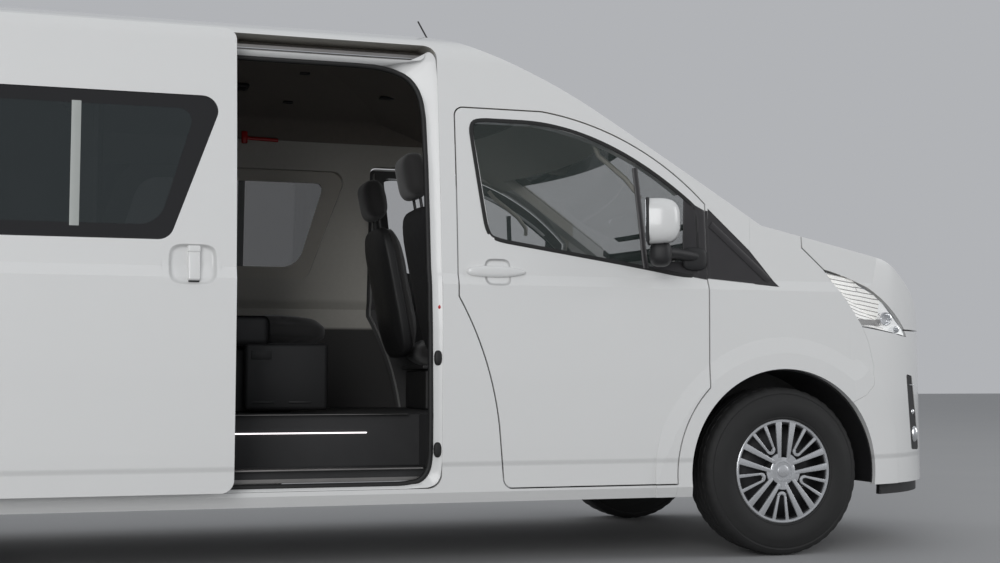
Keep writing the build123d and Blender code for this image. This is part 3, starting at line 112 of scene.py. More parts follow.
class Finish:
    """One material on the Principled shader, with its patterns worked out from the place on the van."""

    def __init__(self, name, colour, roughness, **constants):
        self.material = bpy.data.materials.new(name)
        self.material.use_nodes = True
        self.tree = self.material.node_tree
        self.shader = self.tree.nodes["Principled BSDF"]
        self.colour = colour
        self.shader.inputs["Base Color"].default_value = (*colour, 1.0)
        self.shader.inputs["Roughness"].default_value = roughness
        for label, number in constants.items():
            self.shader.inputs[label.replace("_", " ").title()].default_value = number

    def feed(self, socket, value):
        if isinstance(value, Value):
            self.tree.links.new(value.socket, socket)
        elif isinstance(value, bpy.types.NodeSocket):
            self.tree.links.new(value, socket)
        else:
            socket.default_value = value

    def node(self, kind, settings, values):
        node = self.tree.nodes.new(kind)
        for label, setting in settings.items():
            setattr(node, label, setting)
        for label, value in values.items():
            self.feed(node.inputs[label], value)
        return node

    def place(self, output="Object"):
        """Three values: the place on the van in metres, or with Normal the way the surface faces."""
        spot = self.node("ShaderNodeTexCoord", {}, {})
        split = self.node("ShaderNodeSeparateXYZ", {}, {0: spot.outputs[output]})
        return [Value(self, split.outputs[k]) for k in range(3)]

    def noise(self, scale, detail=3.0):
        spot = self.node("ShaderNodeTexCoord", {}, {})
        cloud = self.node("ShaderNodeTexNoise", {},
                          {"Vector": spot.outputs["Object"], "Scale": scale, "Detail": detail})
        return Value(self, cloud.outputs["Fac"])

    def ramp(self, value, low, high):
        """Value brought from the range low..high to 0..1 with soft ends."""
        node = self.node("ShaderNodeMapRange", {"interpolation_type": "SMOOTHSTEP"},
                         {"Value": value, "From Min": low, "From Max": high})
        return Value(self, node.outputs["Result"])

    def blend(self, factor, first, second, kind="MIX"):
        """Colour between first and second, or with MULTIPLY their product."""
        node = self.node("ShaderNodeMix", {"data_type": "RGBA", "blend_type": kind}, {"Factor": factor})
        for socket, value in ((node.inputs[COLOUR_A], first), (node.inputs[COLOUR_B], second)):
            self.feed(socket, (*value, 1.0) if isinstance(value, tuple) else value)
        return node.outputs[COLOUR_OUT]

    def show(self, **values):
        for label, value in values.items():
            self.feed(self.shader.inputs[label.replace("_", " ").title()], value)
        return self

    def bump(self, height, strength, distance):
        node = self.node("ShaderNodeBump", {}, {"Strength": strength, "Distance": distance, "Height": height})
        self.feed(self.shader.inputs["Normal"], node.outputs["Normal"])
        return self

    def mottle(self, scale, share, strength=0.0, distance=0.001):
        """Slight change of colour and roughness over the surface, and a fine grain."""
        cloud = self.noise(scale)
        dark = tuple(c * (1 - share) for c in self.colour)
        rough = self.shader.inputs["Roughness"].default_value
        self.show(base_color=self.blend(cloud, dark, self.colour),
                  roughness=cloud * (0.25 * rough) + rough * 0.85)
        if strength:
            self.bump(self.noise(scale * 14), strength, distance)
        return self


def settings():
    return bpy.context.scene.van_settings


def colour_of(name):
    return tuple(getattr(settings(), name))


_finishes = {}


def finish(name):
    """The material of that name, made on first use."""
    if name not in _finishes:
        _finishes[name] = FINISHES[name]().material
        _finishes[name].name = name
    return _finishes[name]


PAINT_GRAIN = 0.00001
# Heights between which the pressed line low on the sides steps out, and how far it does.
SILL_LINE = (0.398, 0.424)
SILL_LINE_DEPTH = 0.006
# Where the normal's sideways part times the place's is below this, a surface faces the cabin.
INWARD = -0.25


def panel_paint(paint, inner, lining, relief, shade=None):
    """Glossy paint outside and a dull lining on the inner side, with relief and an optional shade."""
    cloud = paint.noise(3.0)
    outer = paint.blend(cloud, tuple(0.985 * c for c in paint.colour), paint.colour)
    colour = paint.blend(inner, outer, lining)
    if shade is not None:
        dim = paint.blend(shade, (1.0, 1.0, 1.0), (0.35, 0.35, 0.34))
        colour = paint.blend(1.0, colour, dim, "MULTIPLY")
    paint.show(base_color=colour, roughness=inner * 0.4 + cloud * 0.04 + 0.2, coat_weight=0.5 - inner * 0.5)
    return paint.bump(relief + paint.noise(900.0, 1.0) * PAINT_GRAIN, 1.0, 1.0)


def sill_line(paint, z):
    """Height of the pressed line that runs low along the doors and sides."""
    return paint.ramp(z, *SILL_LINE) * SILL_LINE_DEPTH


def white_paint():
    """Body paint; inside the cabin it turns into pale trim, with painted shade as a dark lower wall below about
    1.0 m.
    """
    paint = Finish("white_paint", colour_of("paint"), 0.22, coat_weight=0.5, coat_roughness=0.05)
    x, y, z = paint.place()
    _, ny, nz = paint.place("Normal")
    under = (nz < -0.4) * (z > 1.75)
    cabin = (ny * y < INWARD).larger(under) * (z > 0.30) * (x < 1.62) * (abs(y) < 0.962)
    pale = paint.blend(paint.noise(60), (0.54, 0.52, 0.47), (0.60, 0.58, 0.53))
    # painted shade: the lining turns dark charcoal below about 1.0 m, where the lower cabin wall lies in shadow
    lining = paint.blend(paint.ramp(z, 1.000, 1.020), (0.045, 0.043, 0.042), pale)
    return panel_paint(paint, cabin, lining, sill_line(paint, z))


# Dishes behind the handles: centre x and z, then half length and half height.
FRONT_DISH = (0.674, 1.174, 0.056, 0.056)
SLIDE_DISH = (-0.534, 1.171, 0.090, 0.078)
DISH_DEPTH = 0.012


def door_paint():
    """Paint of the doors, with the handles' round dishes pressed and shaded into it."""
    paint = Finish("door_paint", colour_of("paint"), 0.22, coat_weight=0.5, coat_roughness=0.05)
    x, y, z = paint.place()
    _, ny, _ = paint.place("Normal")
    inner = (ny * y < INWARD) * (z < 1.84)
    lining = paint.blend(paint.noise(60), (0.07, 0.07, 0.07), (0.09, 0.09, 0.09))
    level, shade = 0.0, 0.0
    for cx, cz, rx, rz in (FRONT_DISH, SLIDE_DISH):
        across, along = (x - cx) / rx, (z - cz) / rz
        reach = across * across * across * across + along * along * along * along
        hollow = 1.0 - paint.ramp(reach, 0.35, 1.0)
        level = level - hollow * DISH_DEPTH
        rim = paint.ramp(along, 0.55, 0.95) + paint.ramp(across, 0.60, 0.95) * 0.6
        shade = shade + rim * (reach < 0.98) * 0.22
    return panel_paint(paint, inner, lining, level + sill_line(paint, z), shade)


def black_plastic():
    return Finish("black_plastic", (0.016, 0.016, 0.017), 0.55).mottle(20, 0.2, 0.15, 0.0006)


def trim_plastic():
    return Finish("trim_plastic", (0.032, 0.030, 0.032), 0.42).mottle(20, 0.15, 0.12, 0.0005)


def gloss_black():
    return Finish("gloss_black", (0.008, 0.008, 0.009), 0.12, coat_weight=0.3).mottle(12, 0.2)


def rubber():
    return Finish("rubber", (0.011, 0.011, 0.011), 0.62).mottle(25, 0.25, 0.1, 0.0005)


def tyre_rubber():
    tyre = Finish("tyre_rubber", (0.013, 0.013, 0.014), 0.72)
    cloud = tyre.noise(18)
    tyre.show(base_color=tyre.blend(cloud, (0.009, 0.009, 0.009), (0.020, 0.020, 0.020)),
              roughness=cloud * 0.2 + 0.62)
    return tyre.bump(tyre.noise(160), 0.2, 0.0008)


def silver_cover():
    return Finish("silver_cover", (0.60, 0.61, 0.63), 0.28, metallic=0.55, coat_weight=0.3).mottle(16, 0.1)


def dark_steel():
    return Finish("dark_steel", (0.028, 0.028, 0.03), 0.5, metallic=0.4).mottle(14, 0.3, 0.2, 0.0008)


def cast_iron():
    return Finish("cast_iron", (0.10, 0.10, 0.10), 0.6, metallic=0.7).mottle(10, 0.35, 0.4, 0.001)


def bare_steel():
    return Finish("bare_steel", (0.34, 0.33, 0.32), 0.42, metallic=0.9).mottle(9, 0.3, 0.15, 0.0006)


def bright_metal():
    return Finish("bright_metal", (0.86, 0.87, 0.88), 0.12, metallic=1.0).mottle(30, 0.06)


def mirror_glass():
    return Finish("mirror_glass", (0.82, 0.85, 0.87), 0.03, metallic=1.0).mottle(4, 0.02)


WEAVE = 0.006


def seat_cloth():
    cloth = Finish("seat_cloth", colour_of("seat"), 0.85, sheen_weight=0.3)
    x, y, z = cloth.place()
    cloud = cloth.noise(9)
    weave = abs((x + z).wave(WEAVE) - 0.5) + abs((y + z).wave(WEAVE) - 0.5)
    light = tuple(1.35 * c for c in cloth.colour)
    cloth.show(base_color=cloth.blend(cloud, cloth.colour, light), roughness=cloud * 0.1 + 0.8)
    return cloth.bump(weave, 0.06, 0.0003)


def head_lining():
    return Finish("head_lining", (0.26, 0.23, 0.20), 0.95).mottle(40, 0.2, 0.4, 0.0008)


def dash_plastic():
    return Finish("dash_plastic", (0.030, 0.030, 0.031), 0.55).mottle(30, 0.2, 0.3, 0.0006)


def floor_cover():
    cover = Finish("floor_cover", (0.025, 0.025, 0.026), 0.6)
    _, y, _ = cover.place()
    cloud = cover.noise(12)
    ribs = y.wave(0.02) > 0.5
    cover.show(base_color=cover.blend(cloud, (0.020, 0.020, 0.021), (0.035, 0.035, 0.036)),
               roughness=cloud * 0.2 + 0.5)
    return cover.bump(ribs, 0.35, 0.001)


def cabin_trim():
    return Finish("cabin_trim", (0.60, 0.57, 0.51), 0.6).mottle(30, 0.08, 0.2, 0.0005)


def glow():
    strip = Finish("glow", (1.0, 0.93, 0.94), 0.4, emission_strength=1.6)
    cloud = strip.noise(6)
    return strip.show(emission_color=strip.blend(cloud, (0.95, 0.82, 0.86), (1.0, 0.97, 0.98)))


def red_plastic():
    return Finish("red_plastic", (0.6, 0.01, 0.01), 0.3).mottle(30, 0.1)


def flange_paint():
    return Finish("flange_paint", colour_of("paint"), 0.3, coat_weight=0.3).mottle(6, 0.03)


def divider():
    return Finish("divider", (0.42, 0.44, 0.42), 0.4).mottle(20, 0.08)


def plate_white():
    return Finish("plate_white", (0.78, 0.78, 0.76), 0.4).mottle(20, 0.05)


def tail_lens():
    """Red lamp with a clear and an amber part across its middle."""
    lens = Finish("tail_lens", (0.45, 0.012, 0.012), 0.14, coat_weight=0.6)
    _, _, z = lens.place()
    ribs = abs(z.wave(0.012) - 0.5)
    clear = (z > 1.10) * (z < 1.20)
    amber = (z > 1.20) * (z < 1.30)
    red = lens.blend(lens.noise(30), (0.36, 0.008, 0.008), (0.52, 0.016, 0.016))
    colour = lens.blend(amber, lens.blend(clear, red, (0.62, 0.62, 0.62)), (0.72, 0.22, 0.02))
    lens.show(base_color=colour, roughness=ribs * 0.1 + 0.1)
    return lens.bump(ribs, 0.4, 0.0015)


# Clear parts of the side windows: x from and to, z from and to, and how far they lean forward.
CORNER = 0.07
QUARTER_CLEAR = (-2.615, -1.045, 1.318, 1.768, 0.0)
SLIDE_CLEAR = (-0.795, 0.150, 1.318, 1.768, 0.30)
SLIDE_CLEAR_OPEN = (-1.605, -0.660, 1.318, 1.768, 0.30)
FRIT = (0.006, 0.006, 0.007)
DARK_GLASS = (0.022, 0.030, 0.032)
PALE_GLASS = (0.07, 0.09, 0.085)


def pane(name, colour, clear_alpha, outlines):
    """Glass that is see-through inside its rounded outlines and black round them."""
    glass = Finish(name, colour, 0.04, coat_weight=0.2)
    x, _, z = glass.place()
    inside = None
    for x0, x1, z0, z1, lean in outlines:
        reach = abs(x - (x0 + x1) / 2 - (z - z0) * lean) - (x1 - x0) / 2 + CORNER
        rise = abs(z - (z0 + z1) / 2) - (z1 - z0) / 2 + CORNER
        out_x, out_z = reach.larger(0.0), rise.larger(0.0)
        distance = (out_x * out_x + out_z * out_z).root() + reach.larger(rise).smaller(0.0) - CORNER
        clear = glass.ramp(distance, 0.002, -0.002)
        inside = clear if inside is None else inside.larger(clear)
    cloud = glass.noise(5)
    return glass.show(base_color=glass.blend(inside, FRIT, colour), roughness=cloud * 0.02 + 0.03,
                      alpha=1.0 - inside * (1.0 - clear_alpha))


def clear_outline(x0, x1, z0, z1, lean, grow):
    """Rounded outline of a window's clear part, grown outward, as points in X and Z."""
    radius = CORNER + grow
    points = []
    for cx, cz, start in ((x1 - CORNER, z1 - CORNER, 0), (x0 + CORNER, z1 - CORNER, 90),
                          (x0 + CORNER, z0 + CORNER, 180), (x1 - CORNER, z0 + CORNER, 270)):
        for k in range(7):
            turn = radians(start + 15 * k)
            z = cz + radius * sin(turn)
            points.append((cx + radius * cos(turn) + (z - z0) * lean, z))
    return points


def side_glass():
    return pane("side_glass", DARK_GLASS, 0.60, [QUARTER_CLEAR, SLIDE_CLEAR])


def slide_glass():
    return pane("slide_glass", DARK_GLASS, 0.72, [SLIDE_CLEAR_OPEN])


def front_glass():
    glass = Finish("front_glass", PALE_GLASS, 0.03, alpha=0.2, coat_weight=0.1)
    return glass.show(roughness=glass.noise(4) * 0.02 + 0.02)


def screen_glass():
    """Windscreen with a black border."""
    glass = Finish("screen_glass", PALE_GLASS, 0.03, coat_weight=0.1)
    _, y, z = glass.place()
    edge = (abs(y) > 0.76 + (1.81 - z) * 0.24).larger(z < 1.43).larger(z > 1.775)
    return glass.show(base_color=glass.blend(edge, glass.colour, FRIT),
                      roughness=glass.noise(4) * 0.02 + 0.02, alpha=edge * 0.75 + 0.25)


def gate_glass():
    """Rear window with a black border and the lines of its heater."""
    glass = Finish("gate_glass", (0.05, 0.06, 0.06), 0.03, coat_weight=0.1)
    _, y, z = glass.place()
    edge = (abs(y) > 0.60).larger(z < 1.31).larger(z > 1.83)
    lines = (z.wave(0.035) < 0.05) * (abs(y) < 0.6) * (z > 1.34) * (z < 1.8)
    bordered = glass.blend(edge, glass.colour, FRIT)
    return glass.show(base_color=glass.blend(lines, bordered, (0.25, 0.12, 0.05)),
                      roughness=glass.noise(4) * 0.02 + 0.02, alpha=edge.larger(lines) * 0.5 + 0.5)


def lamp_lens():
    lens = Finish("lamp_lens", (0.85, 0.87, 0.90), 0.03, alpha=0.12, coat_weight=0.3)
    return lens.show(roughness=lens.noise(6) * 0.02 + 0.02)


def lamp_bowl():
    """Bowl painted bright with a weak glow, as painted light for its chrome's reflections: fine slats along its
    rear half, plain in front, with a dark pocket low down.
    """
    bowl = Finish("lamp_bowl", (0.92, 0.92, 0.90), 0.2, emission_strength=0.28)
    x, _, z = bowl.place()
    reach = x + z * 0.723 - 3.027
    rear = x + z * 0.40 < 2.868
    slats = (reach > 0.010) * rear
    stripes = (z + reach * 0.2).wave(0.0185)
    pocket = (z < 1.008) * (z > 0.980) * (reach > 0.012) * rear
    cloud = bowl.noise(9)
    plain = bowl.blend(slats, bowl.blend(cloud, (0.86, 0.87, 0.87), (0.93, 0.93, 0.92)), (0.97, 0.96, 0.93))
    colour = bowl.blend(((stripes < 0.20) * slats).larger(pocket), plain, (0.13, 0.12, 0.11))
    # painted light: emission in the bowl's own colour makes this unlit lamp part glow
    bowl.show(base_color=colour, emission_color=colour, roughness=cloud * 0.1 + 0.2)
    return bowl.bump(stripes * slats, 0.5, 0.004)


FINISHES = {
    f.__name__: f for f in (
        white_paint, door_paint, black_plastic, trim_plastic, gloss_black, rubber, tyre_rubber,
        silver_cover, dark_steel, cast_iron, bare_steel, bright_metal, mirror_glass, seat_cloth,
        head_lining, dash_plastic, floor_cover, cabin_trim, glow, red_plastic, divider,
        flange_paint, plate_white, tail_lens, side_glass, slide_glass, front_glass, screen_glass,
        gate_glass, lamp_lens, lamp_bowl)
}

NODE_FINISH = {
    "white_paint": ["body_shell", "front_fenders", "bonnet", "front_bumper", "rear_bumper", "fuel_flap",
                    "tailgate"],
    "door_paint": ["door_left", "door_right", "sliding_door"],
    "black_plastic": ["scuttle", "front_valance", "nose_grilles", "wheel_liners", "wipers", "antenna"],
    "trim_plastic": ["corner_panes"],
    "gloss_black": ["mirror_left", "mirror_right"],
    "rubber": ["door_seal"],
    "tyre_rubber": ["tyre_front_left", "tyre_front_right", "tyre_rear_left", "tyre_rear_right"],
    "dark_steel": ["underbody_frame", "fuel_tank", "front_suspension", "wheel_front_left",
                   "wheel_front_right", "wheel_rear_left", "wheel_rear_right"],
    "cast_iron": ["engine", "rear_axle", "knuckle_left", "knuckle_right"],
    "bare_steel": ["exhaust", "sliding_door_rails"],
    "side_glass": ["side_windows"],
    "slide_glass": ["sliding_door_glass"],
    "front_glass": ["door_glass_left", "door_glass_right"],
    "screen_glass": ["windscreen"],
    "gate_glass": ["tailgate_glass"],
    "lamp_lens": ["headlamp_lenses"],
    "lamp_bowl": ["headlamp_housings"],
    "tail_lens": ["tail_lamps"],
    "seat_cloth": ["front_seats", "passenger_seats"],
    "head_lining": ["headliner"],
    "dash_plastic": ["dashboard", "steering_wheel", "seat_bases"],
    "floor_cover": ["floor_pan"],
}


def piece(name, mesh, finish_name, body, smooth=35.0):
    """A finished mesh as an object that rides on a body of the van."""
    mesh.name = name
    item = bpy.data.objects.new(name, mesh)
    bpy.context.scene.collection.objects.link(item)
    mesh.materials.clear()
    mesh.materials.append(finish(finish_name))
    mesh.shade_smooth()
    mesh.set_sharp_from_angle(angle=radians(smooth))
    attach(item, body)
    return item


def to_mesh(build):
    mesh = bpy.data.meshes.new("piece")
    bmesh.ops.recalc_face_normals(build, faces=build.faces)
    build.to_mesh(mesh)
    build.free()
    return mesh


def join_meshes(meshes):
    whole = bmesh.new()
    for mesh in meshes:
        whole.from_mesh(mesh)
        bpy.data.meshes.remove(mesh)
    mesh = bpy.data.meshes.new("piece")
    whole.to_mesh(mesh)
    whole.free()
    return mesh


def rounded_box(centre, size, bevel, turn=None, segments=2):
    """Box with rounded edges; turn is an optional rotation matrix about its centre."""
    build = bmesh.new()
    bmesh.ops.create_cube(build, size=1.0)
    bmesh.ops.scale(build, vec=Vector(size), verts=build.verts)
    if bevel:
        bmesh.ops.bevel(build, geom=build.edges, offset=bevel, segments=segments, profile=0.5, affect="EDGES")
    if turn is not None:
        bmesh.ops.transform(build, matrix=turn.to_4x4(), verts=build.verts)
    bmesh.ops.translate(build, vec=Vector(centre), verts=build.verts)
    return to_mesh(build)


def join_rows(build, rows, loop=True):
    """Faces between each row of points and the next; with loop a row's last point joins its first."""
    for low, high in zip(rows, rows[1:]):
        for k in range(len(low) if loop else len(low) - 1):
            m = (k + 1) % len(low)
            build.faces.new((low[k], low[m], high[m], high[k]))


def run_mesh(build, rows, closed):
    """Mesh of rows along a run, which is closed on itself or has a face at each end."""
    join_rows(build, rows + rows[:1] if closed else rows)
    if not closed:
        build.faces.new(rows[0])
        build.faces.new(reversed(rows[-1]))
    return to_mesh(build)


def direction(spots, k, closed):
    """The way a run of points goes at its point k."""
    before = spots[k - 1] if closed or k else spots[k]
    after = spots[(k + 1) % len(spots)] if closed or k + 1 < len(spots) else spots[k]
    return (after - before).normalized()


def tube(points, radius, sides=10, closed=False):
    """Round tube along a path of points."""
    build = bmesh.new()
    spots = [Vector(p) for p in points]
    rings = []
    for k, spot in enumerate(spots):
        along = direction(spots, k, closed)
        side = along.cross(Vector((0.02, 0.03, 1.0))).normalized()
        if side.length < 0.5:
            side = along.cross(Vector((1, 0, 0))).normalized()
        up = side.cross(along)
        rings.append([build.verts.new(spot + radius * (cos(a) * side + sin(a) * up))
                      for a in (2 * pi * i / sides for i in range(sides))])
    return run_mesh(build, rings, closed)


def lathe(profile, steps, centre, shape=None, closed=True):
    """Profile of (radius, offset along Y) turned about the Y axis through centre; shape may move a point."""
    build = bmesh.new()
    rings = []
    for i in range(steps):
        angle = 2 * pi * i / steps
        ring = []
        for k, (radius, offset) in enumerate(profile):
            if shape:
                radius, offset = shape(i, k, radius, offset)
            arm = Vector((radius * cos(angle), offset, radius * sin(angle)))
            ring.append(build.verts.new(Vector(centre) + arm))
        rings.append(ring)
    join_rows(build, rings + rings[:1], closed)
    return to_mesh(build)


def slab(outline, y0, y1, place, bevel=0.0):
    """Outline of (x, z) points as a plate between two offsets along Y, then moved by a matrix."""
    build = bmesh.new()
    low = [build.verts.new((x, y0, z)) for x, z in outline]
    high = [build.verts.new((x, y1, z)) for x, z in outline]
    build.faces.new(low)
    build.faces.new(reversed(high))
    for k in range(len(outline)):
        m = (k + 1) % len(outline)
        build.faces.new((low[k], high[k], high[m], low[m]))
    if bevel:
        bmesh.ops.bevel(build, geom=build.edges, offset=bevel, segments=2, profile=0.5, affect="EDGES",
                        clamp_overlap=True)
    bmesh.ops.transform(build, matrix=place, verts=build.verts)
    return to_mesh(build)


def surface_of(*nodes):
    """A ray-cast tree over some CAD nodes."""
    build = bmesh.new()
    for node in nodes:
        build.from_mesh(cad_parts[node].data)
    tree = BVHTree.FromBMesh(build)
    build.free()
    return tree


OUTSIDE_Y = 1.4
SKIN_Y = 0.94


def on_side(tree, x, z, side=-1):
    """Place and outward normal where a line across the van first meets the tree, or its nearest place."""
    spot, normal, _, _ = tree.ray_cast(Vector((x, side * OUTSIDE_Y, z)), Vector((0, -side, 0)))
    if spot is None:
        spot, normal, _, _ = tree.find_nearest(Vector((x, side * SKIN_Y, z)))
    if normal.y * side < 0:
        normal = -normal
    return spot, normal


def smooth_closed(points, rounds=2):
    """Corner-cutting of a closed outline."""
    for _ in range(rounds):
        cut = []
        for (x, z), (nx, nz) in zip(points, points[1:] + points[:1]):
            cut += [(0.75 * x + 0.25 * nx, 0.75 * z + 0.25 * nz),
                    (0.25 * x + 0.75 * nx, 0.25 * z + 0.75 * nz)]
        points = cut
    return points


def band(spots, normals, width, height, sink=0.002, closed=False):
    """Flat band with sloped edges that lies along points on a surface."""
    build = bmesh.new()
    half = width / 2
    section = [(-half, -sink), (-half, height * 0.5), (-width * 0.3, height),
               (width * 0.3, height), (half, height * 0.5), (half, -sink)]
    rows = []
    for k, (spot, out) in enumerate(zip(spots, normals)):
        side = direction(spots, k, closed).cross(out).normalized()
        rows.append([build.verts.new(spot + a * side + b * out) for a, b in section])
    return run_mesh(build, rows, closed)


def band_on_side(tree, outline, side, width, height, closed=True, sink=0.002):
    spots, normals = zip(*(on_side(tree, x, z, side) for x, z in outline))
    return band(spots, normals, width, height, sink, closed)


def mirrored(mesh):
    """A copy of the mesh on the van's other side."""
    build = bmesh.new()
    build.from_mesh(mesh)
    bmesh.ops.scale(build, vec=Vector((1, -1, 1)), verts=build.verts)
    bmesh.ops.reverse_faces(build, faces=build.faces)
    copy = bpy.data.meshes.new("piece")
    build.to_mesh(copy)
    build.free()
    return copy


def straight(x, z, dx, dz, steps=10):
    """Points on a straight line from (x, z), a step (dx, dz) apart."""
    return [(x + dx * k, z + dz * k) for k in range(steps + 1)]


def patch(tree, outline, side, lift):
    """Thin skin over an outline on the van's side, its rim turned down to the surface."""
    build = bmesh.new()
    corners = [Vector(point) for point in outline]
    mid = sum(corners, Vector((0.0, 0.0))) / len(corners)
    edge = [here.lerp(there, k / 8) for here, there in zip(corners, corners[1:] + corners[:1])
            for k in range(8)]
    rows = []
    for share, height in ((1.0, -0.001), (0.985, lift * 0.7), (0.95, lift), (0.8, lift), (0.6, lift),
                          (0.4, lift), (0.2, lift)):
        hits = (on_side(tree, *mid.lerp(point, share), side) for point in edge)
        rows.append([build.verts.new(spot + normal * height) for spot, normal in hits])
    join_rows(build, rows)
    build.faces.new(rows[-1])
    return to_mesh(build)


def cover_patch(tree, centre, radii, side, lift=0.0003, turns=64, rings=16):
    """Skin over a recess that carries on the panel's own surface, read at the same height beside it."""
    build = bmesh.new()
    ends = (centre[0] - radii[0] - 0.008, centre[0] + radii[0] + 0.008)
    rows = []
    for ring in range(rings):
        share = 1 - ring / rings
        row = []
        for k in range(turns):
            angle = 2 * pi * k / turns
            x = centre[0] + share * radii[0] * copysign(abs(cos(angle)) ** 0.5, cos(angle))
            z = centre[1] + share * radii[1] * copysign(abs(sin(angle)) ** 0.5, sin(angle))
            first, last = (on_side(tree, end, z, side)[0].y for end in ends)
            y = first + (last - first) * (x - ends[0]) / (ends[1] - ends[0])
            row.append(build.verts.new((x, y + side * lift, z)))
        rows.append(row)
    join_rows(build, rows)
    build.faces.new(rows[-1])
    return to_mesh(build)


def tapered(mesh, centre, reach, share):
    """Narrow a handle toward its front end."""
    for vert in mesh.vertices:
        along = max(0.0, (vert.co.x - centre[0]) / reach)
        vert.co.z = centre[2] + (vert.co.z - centre[2]) * (1 - share * along * along)
    return mesh


class VanSettings(bpy.types.PropertyGroup):
    """Sizes and colours of the dressing."""
    paint: bpy.props.FloatVectorProperty(
        name="Body paint", description="Colour of the painted panels", subtype="COLOR", size=3,
        default=(0.80, 0.80, 0.79), min=0.0, max=1.0)
    seat: bpy.props.FloatVectorProperty(
        name="Seat cloth", description="Colour of the seat covers", subtype="COLOR", size=3,
        default=(0.022, 0.021, 0.021), min=0.0, max=1.0)
    tread_depth: bpy.props.FloatProperty(
        name="Tread depth", description="Depth of the grooves in the tyres", default=0.008,
        min=0.0, max=0.012, unit="LENGTH")
    cushion_rise: bpy.props.FloatProperty(
        name="Cushion rise", description="How far the padding may swell", default=0.014,
        min=0.0, max=0.03, unit="LENGTH")


class VanOperator:
    bl_options = {"REGISTER", "UNDO"}


class VAN_OT_finishes(VanOperator, bpy.types.Operator):
    """Give every solid of the van its paint, glass, rubber or metal"""
    bl_idname = "van.finishes"
    bl_label = "Finishes"

    def execute(self, context):
        for name, nodes in NODE_FINISH.items():
            for node in nodes:
                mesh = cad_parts[node].data
                mesh.materials.clear()
                mesh.materials.append(finish(name))
        return {"FINISHED"}


FRONT_AXLE = Vector((1.9425, 0.0, 0.356))
REAR_AXLE = Vector((-1.9175, 0.0, 0.356))
WHEEL_OUT = 0.8375
CORNERS = [
    ("front_left", FRONT_AXLE, 1),
    ("front_right", FRONT_AXLE, -1),
    ("rear_left", REAR_AXLE, 1),
    ("rear_right", REAR_AXLE, -1),
]


TYRE_STEPS = 132


def tyre_mesh(centre, tread_depth):
    """Tyre with grooved tread, shoulder lugs and ribbed walls."""
    half_wall = [(0.2056, 0.0940), (0.2200, 0.0950), (0.2205, 0.1050), (0.2260, 0.1075), (0.2300, 0.1070),
                 (0.2360, 0.1110), (0.2640, 0.1168), (0.2900, 0.1165), (0.2930, 0.1150), (0.3120, 0.1120),
                 (0.3240, 0.1052), (0.3300, 0.1068), (0.3400, 0.1030), (0.3465, 0.0975), (0.3520, 0.0890)]
    ribs = [(0.0870, 0.0560), (0.0500, 0.0200), (0.0140, -0.0140), (-0.0200, -0.0500), (-0.0560, -0.0870)]
    profile = list(half_wall)
    for start, end in ribs:
        crown = [0.356 - 0.0014 * (abs(y) / 0.087) ** 2 * 2 for y in (start, end)]
        profile += [(crown[0], start), (crown[1], end)]
        if end > -0.08:
            profile += [(crown[1] - tread_depth, end - 0.001), (crown[1] - tread_depth, end - 0.005)]
    profile += [(radius, -offset) for radius, offset in reversed(half_wall)]

    def lugs(i, k, radius, offset):
        if i % 3 == 0 and radius > 0.339 and abs(offset) > 0.052:
            return radius - tread_depth * 0.3, offset
        if (i + 1) % 3 == 0 and radius > 0.353 and abs(offset) < 0.052:
            return radius - tread_depth * 0.35, offset
        return radius, offset

    return lathe(profile, TYRE_STEPS, centre, lugs)


COVER_RADIUS = 0.219
COVER_TURN = 86.0


def spoke(angle, near, far):
    """Straight spoke about an angle; near and far are (radius, sideways, half width) in cover radii."""
    u = Vector((cos(radians(angle)), sin(radians(angle)))) * COVER_RADIUS
    v = Vector((-u.y, u.x))
    corners = [(near, -1), (far, -1), (far, 1), (near, 1)]
    return [tuple(end[0] * u + (end[1] + sign * end[2]) * v) for end, sign in corners]


def arc_band(centre, inner, outer, start, end, count=12):
    """Band between two radii about a centre, from one angle to another, in cover radii."""
    turns = [radians(start + (end - start) * k / (count - 1)) for k in range(count)]
    points = [(centre.x + outer * cos(t), centre.y + outer * sin(t)) for t in turns]
    points += [(centre.x + inner * cos(t), centre.y + inner * sin(t)) for t in reversed(turns)]
    return [(x * COVER_RADIUS, z * COVER_RADIUS) for x, z in points]


COVER_RING = [(0.2190, 0.0955), (0.2190, 0.1020), (0.2150, 0.1050), (0.2090, 0.1045), (0.2060, 0.1010),
              (0.2050, 0.0955)]
COVER_HUB = [(0.0, 0.0950), (0.0560, 0.0950), (0.0580, 0.0985), (0.0540, 0.1015), (0.0400, 0.1020),
             (0.0380, 0.0990), (0.0260, 0.0990), (0.0250, 0.1040), (0.0200, 0.1064), (0.0, 0.1072)]
RIM_BARREL = [(0.2050, -0.0950), (0.2050, 0.0950), (0.1990, 0.0950), (0.1980, 0.0700), (0.1980, -0.0950)]
RIM_DISC = [(0.0, 0.0450), (0.0600, 0.0450), (0.0700, 0.0560), (0.1250, 0.0640), (0.1600, 0.0520),
            (0.1985, 0.0350), (0.1985, 0.0270), (0.1600, 0.0430), (0.0, 0.0370)]
WHEEL_STEPS = 90


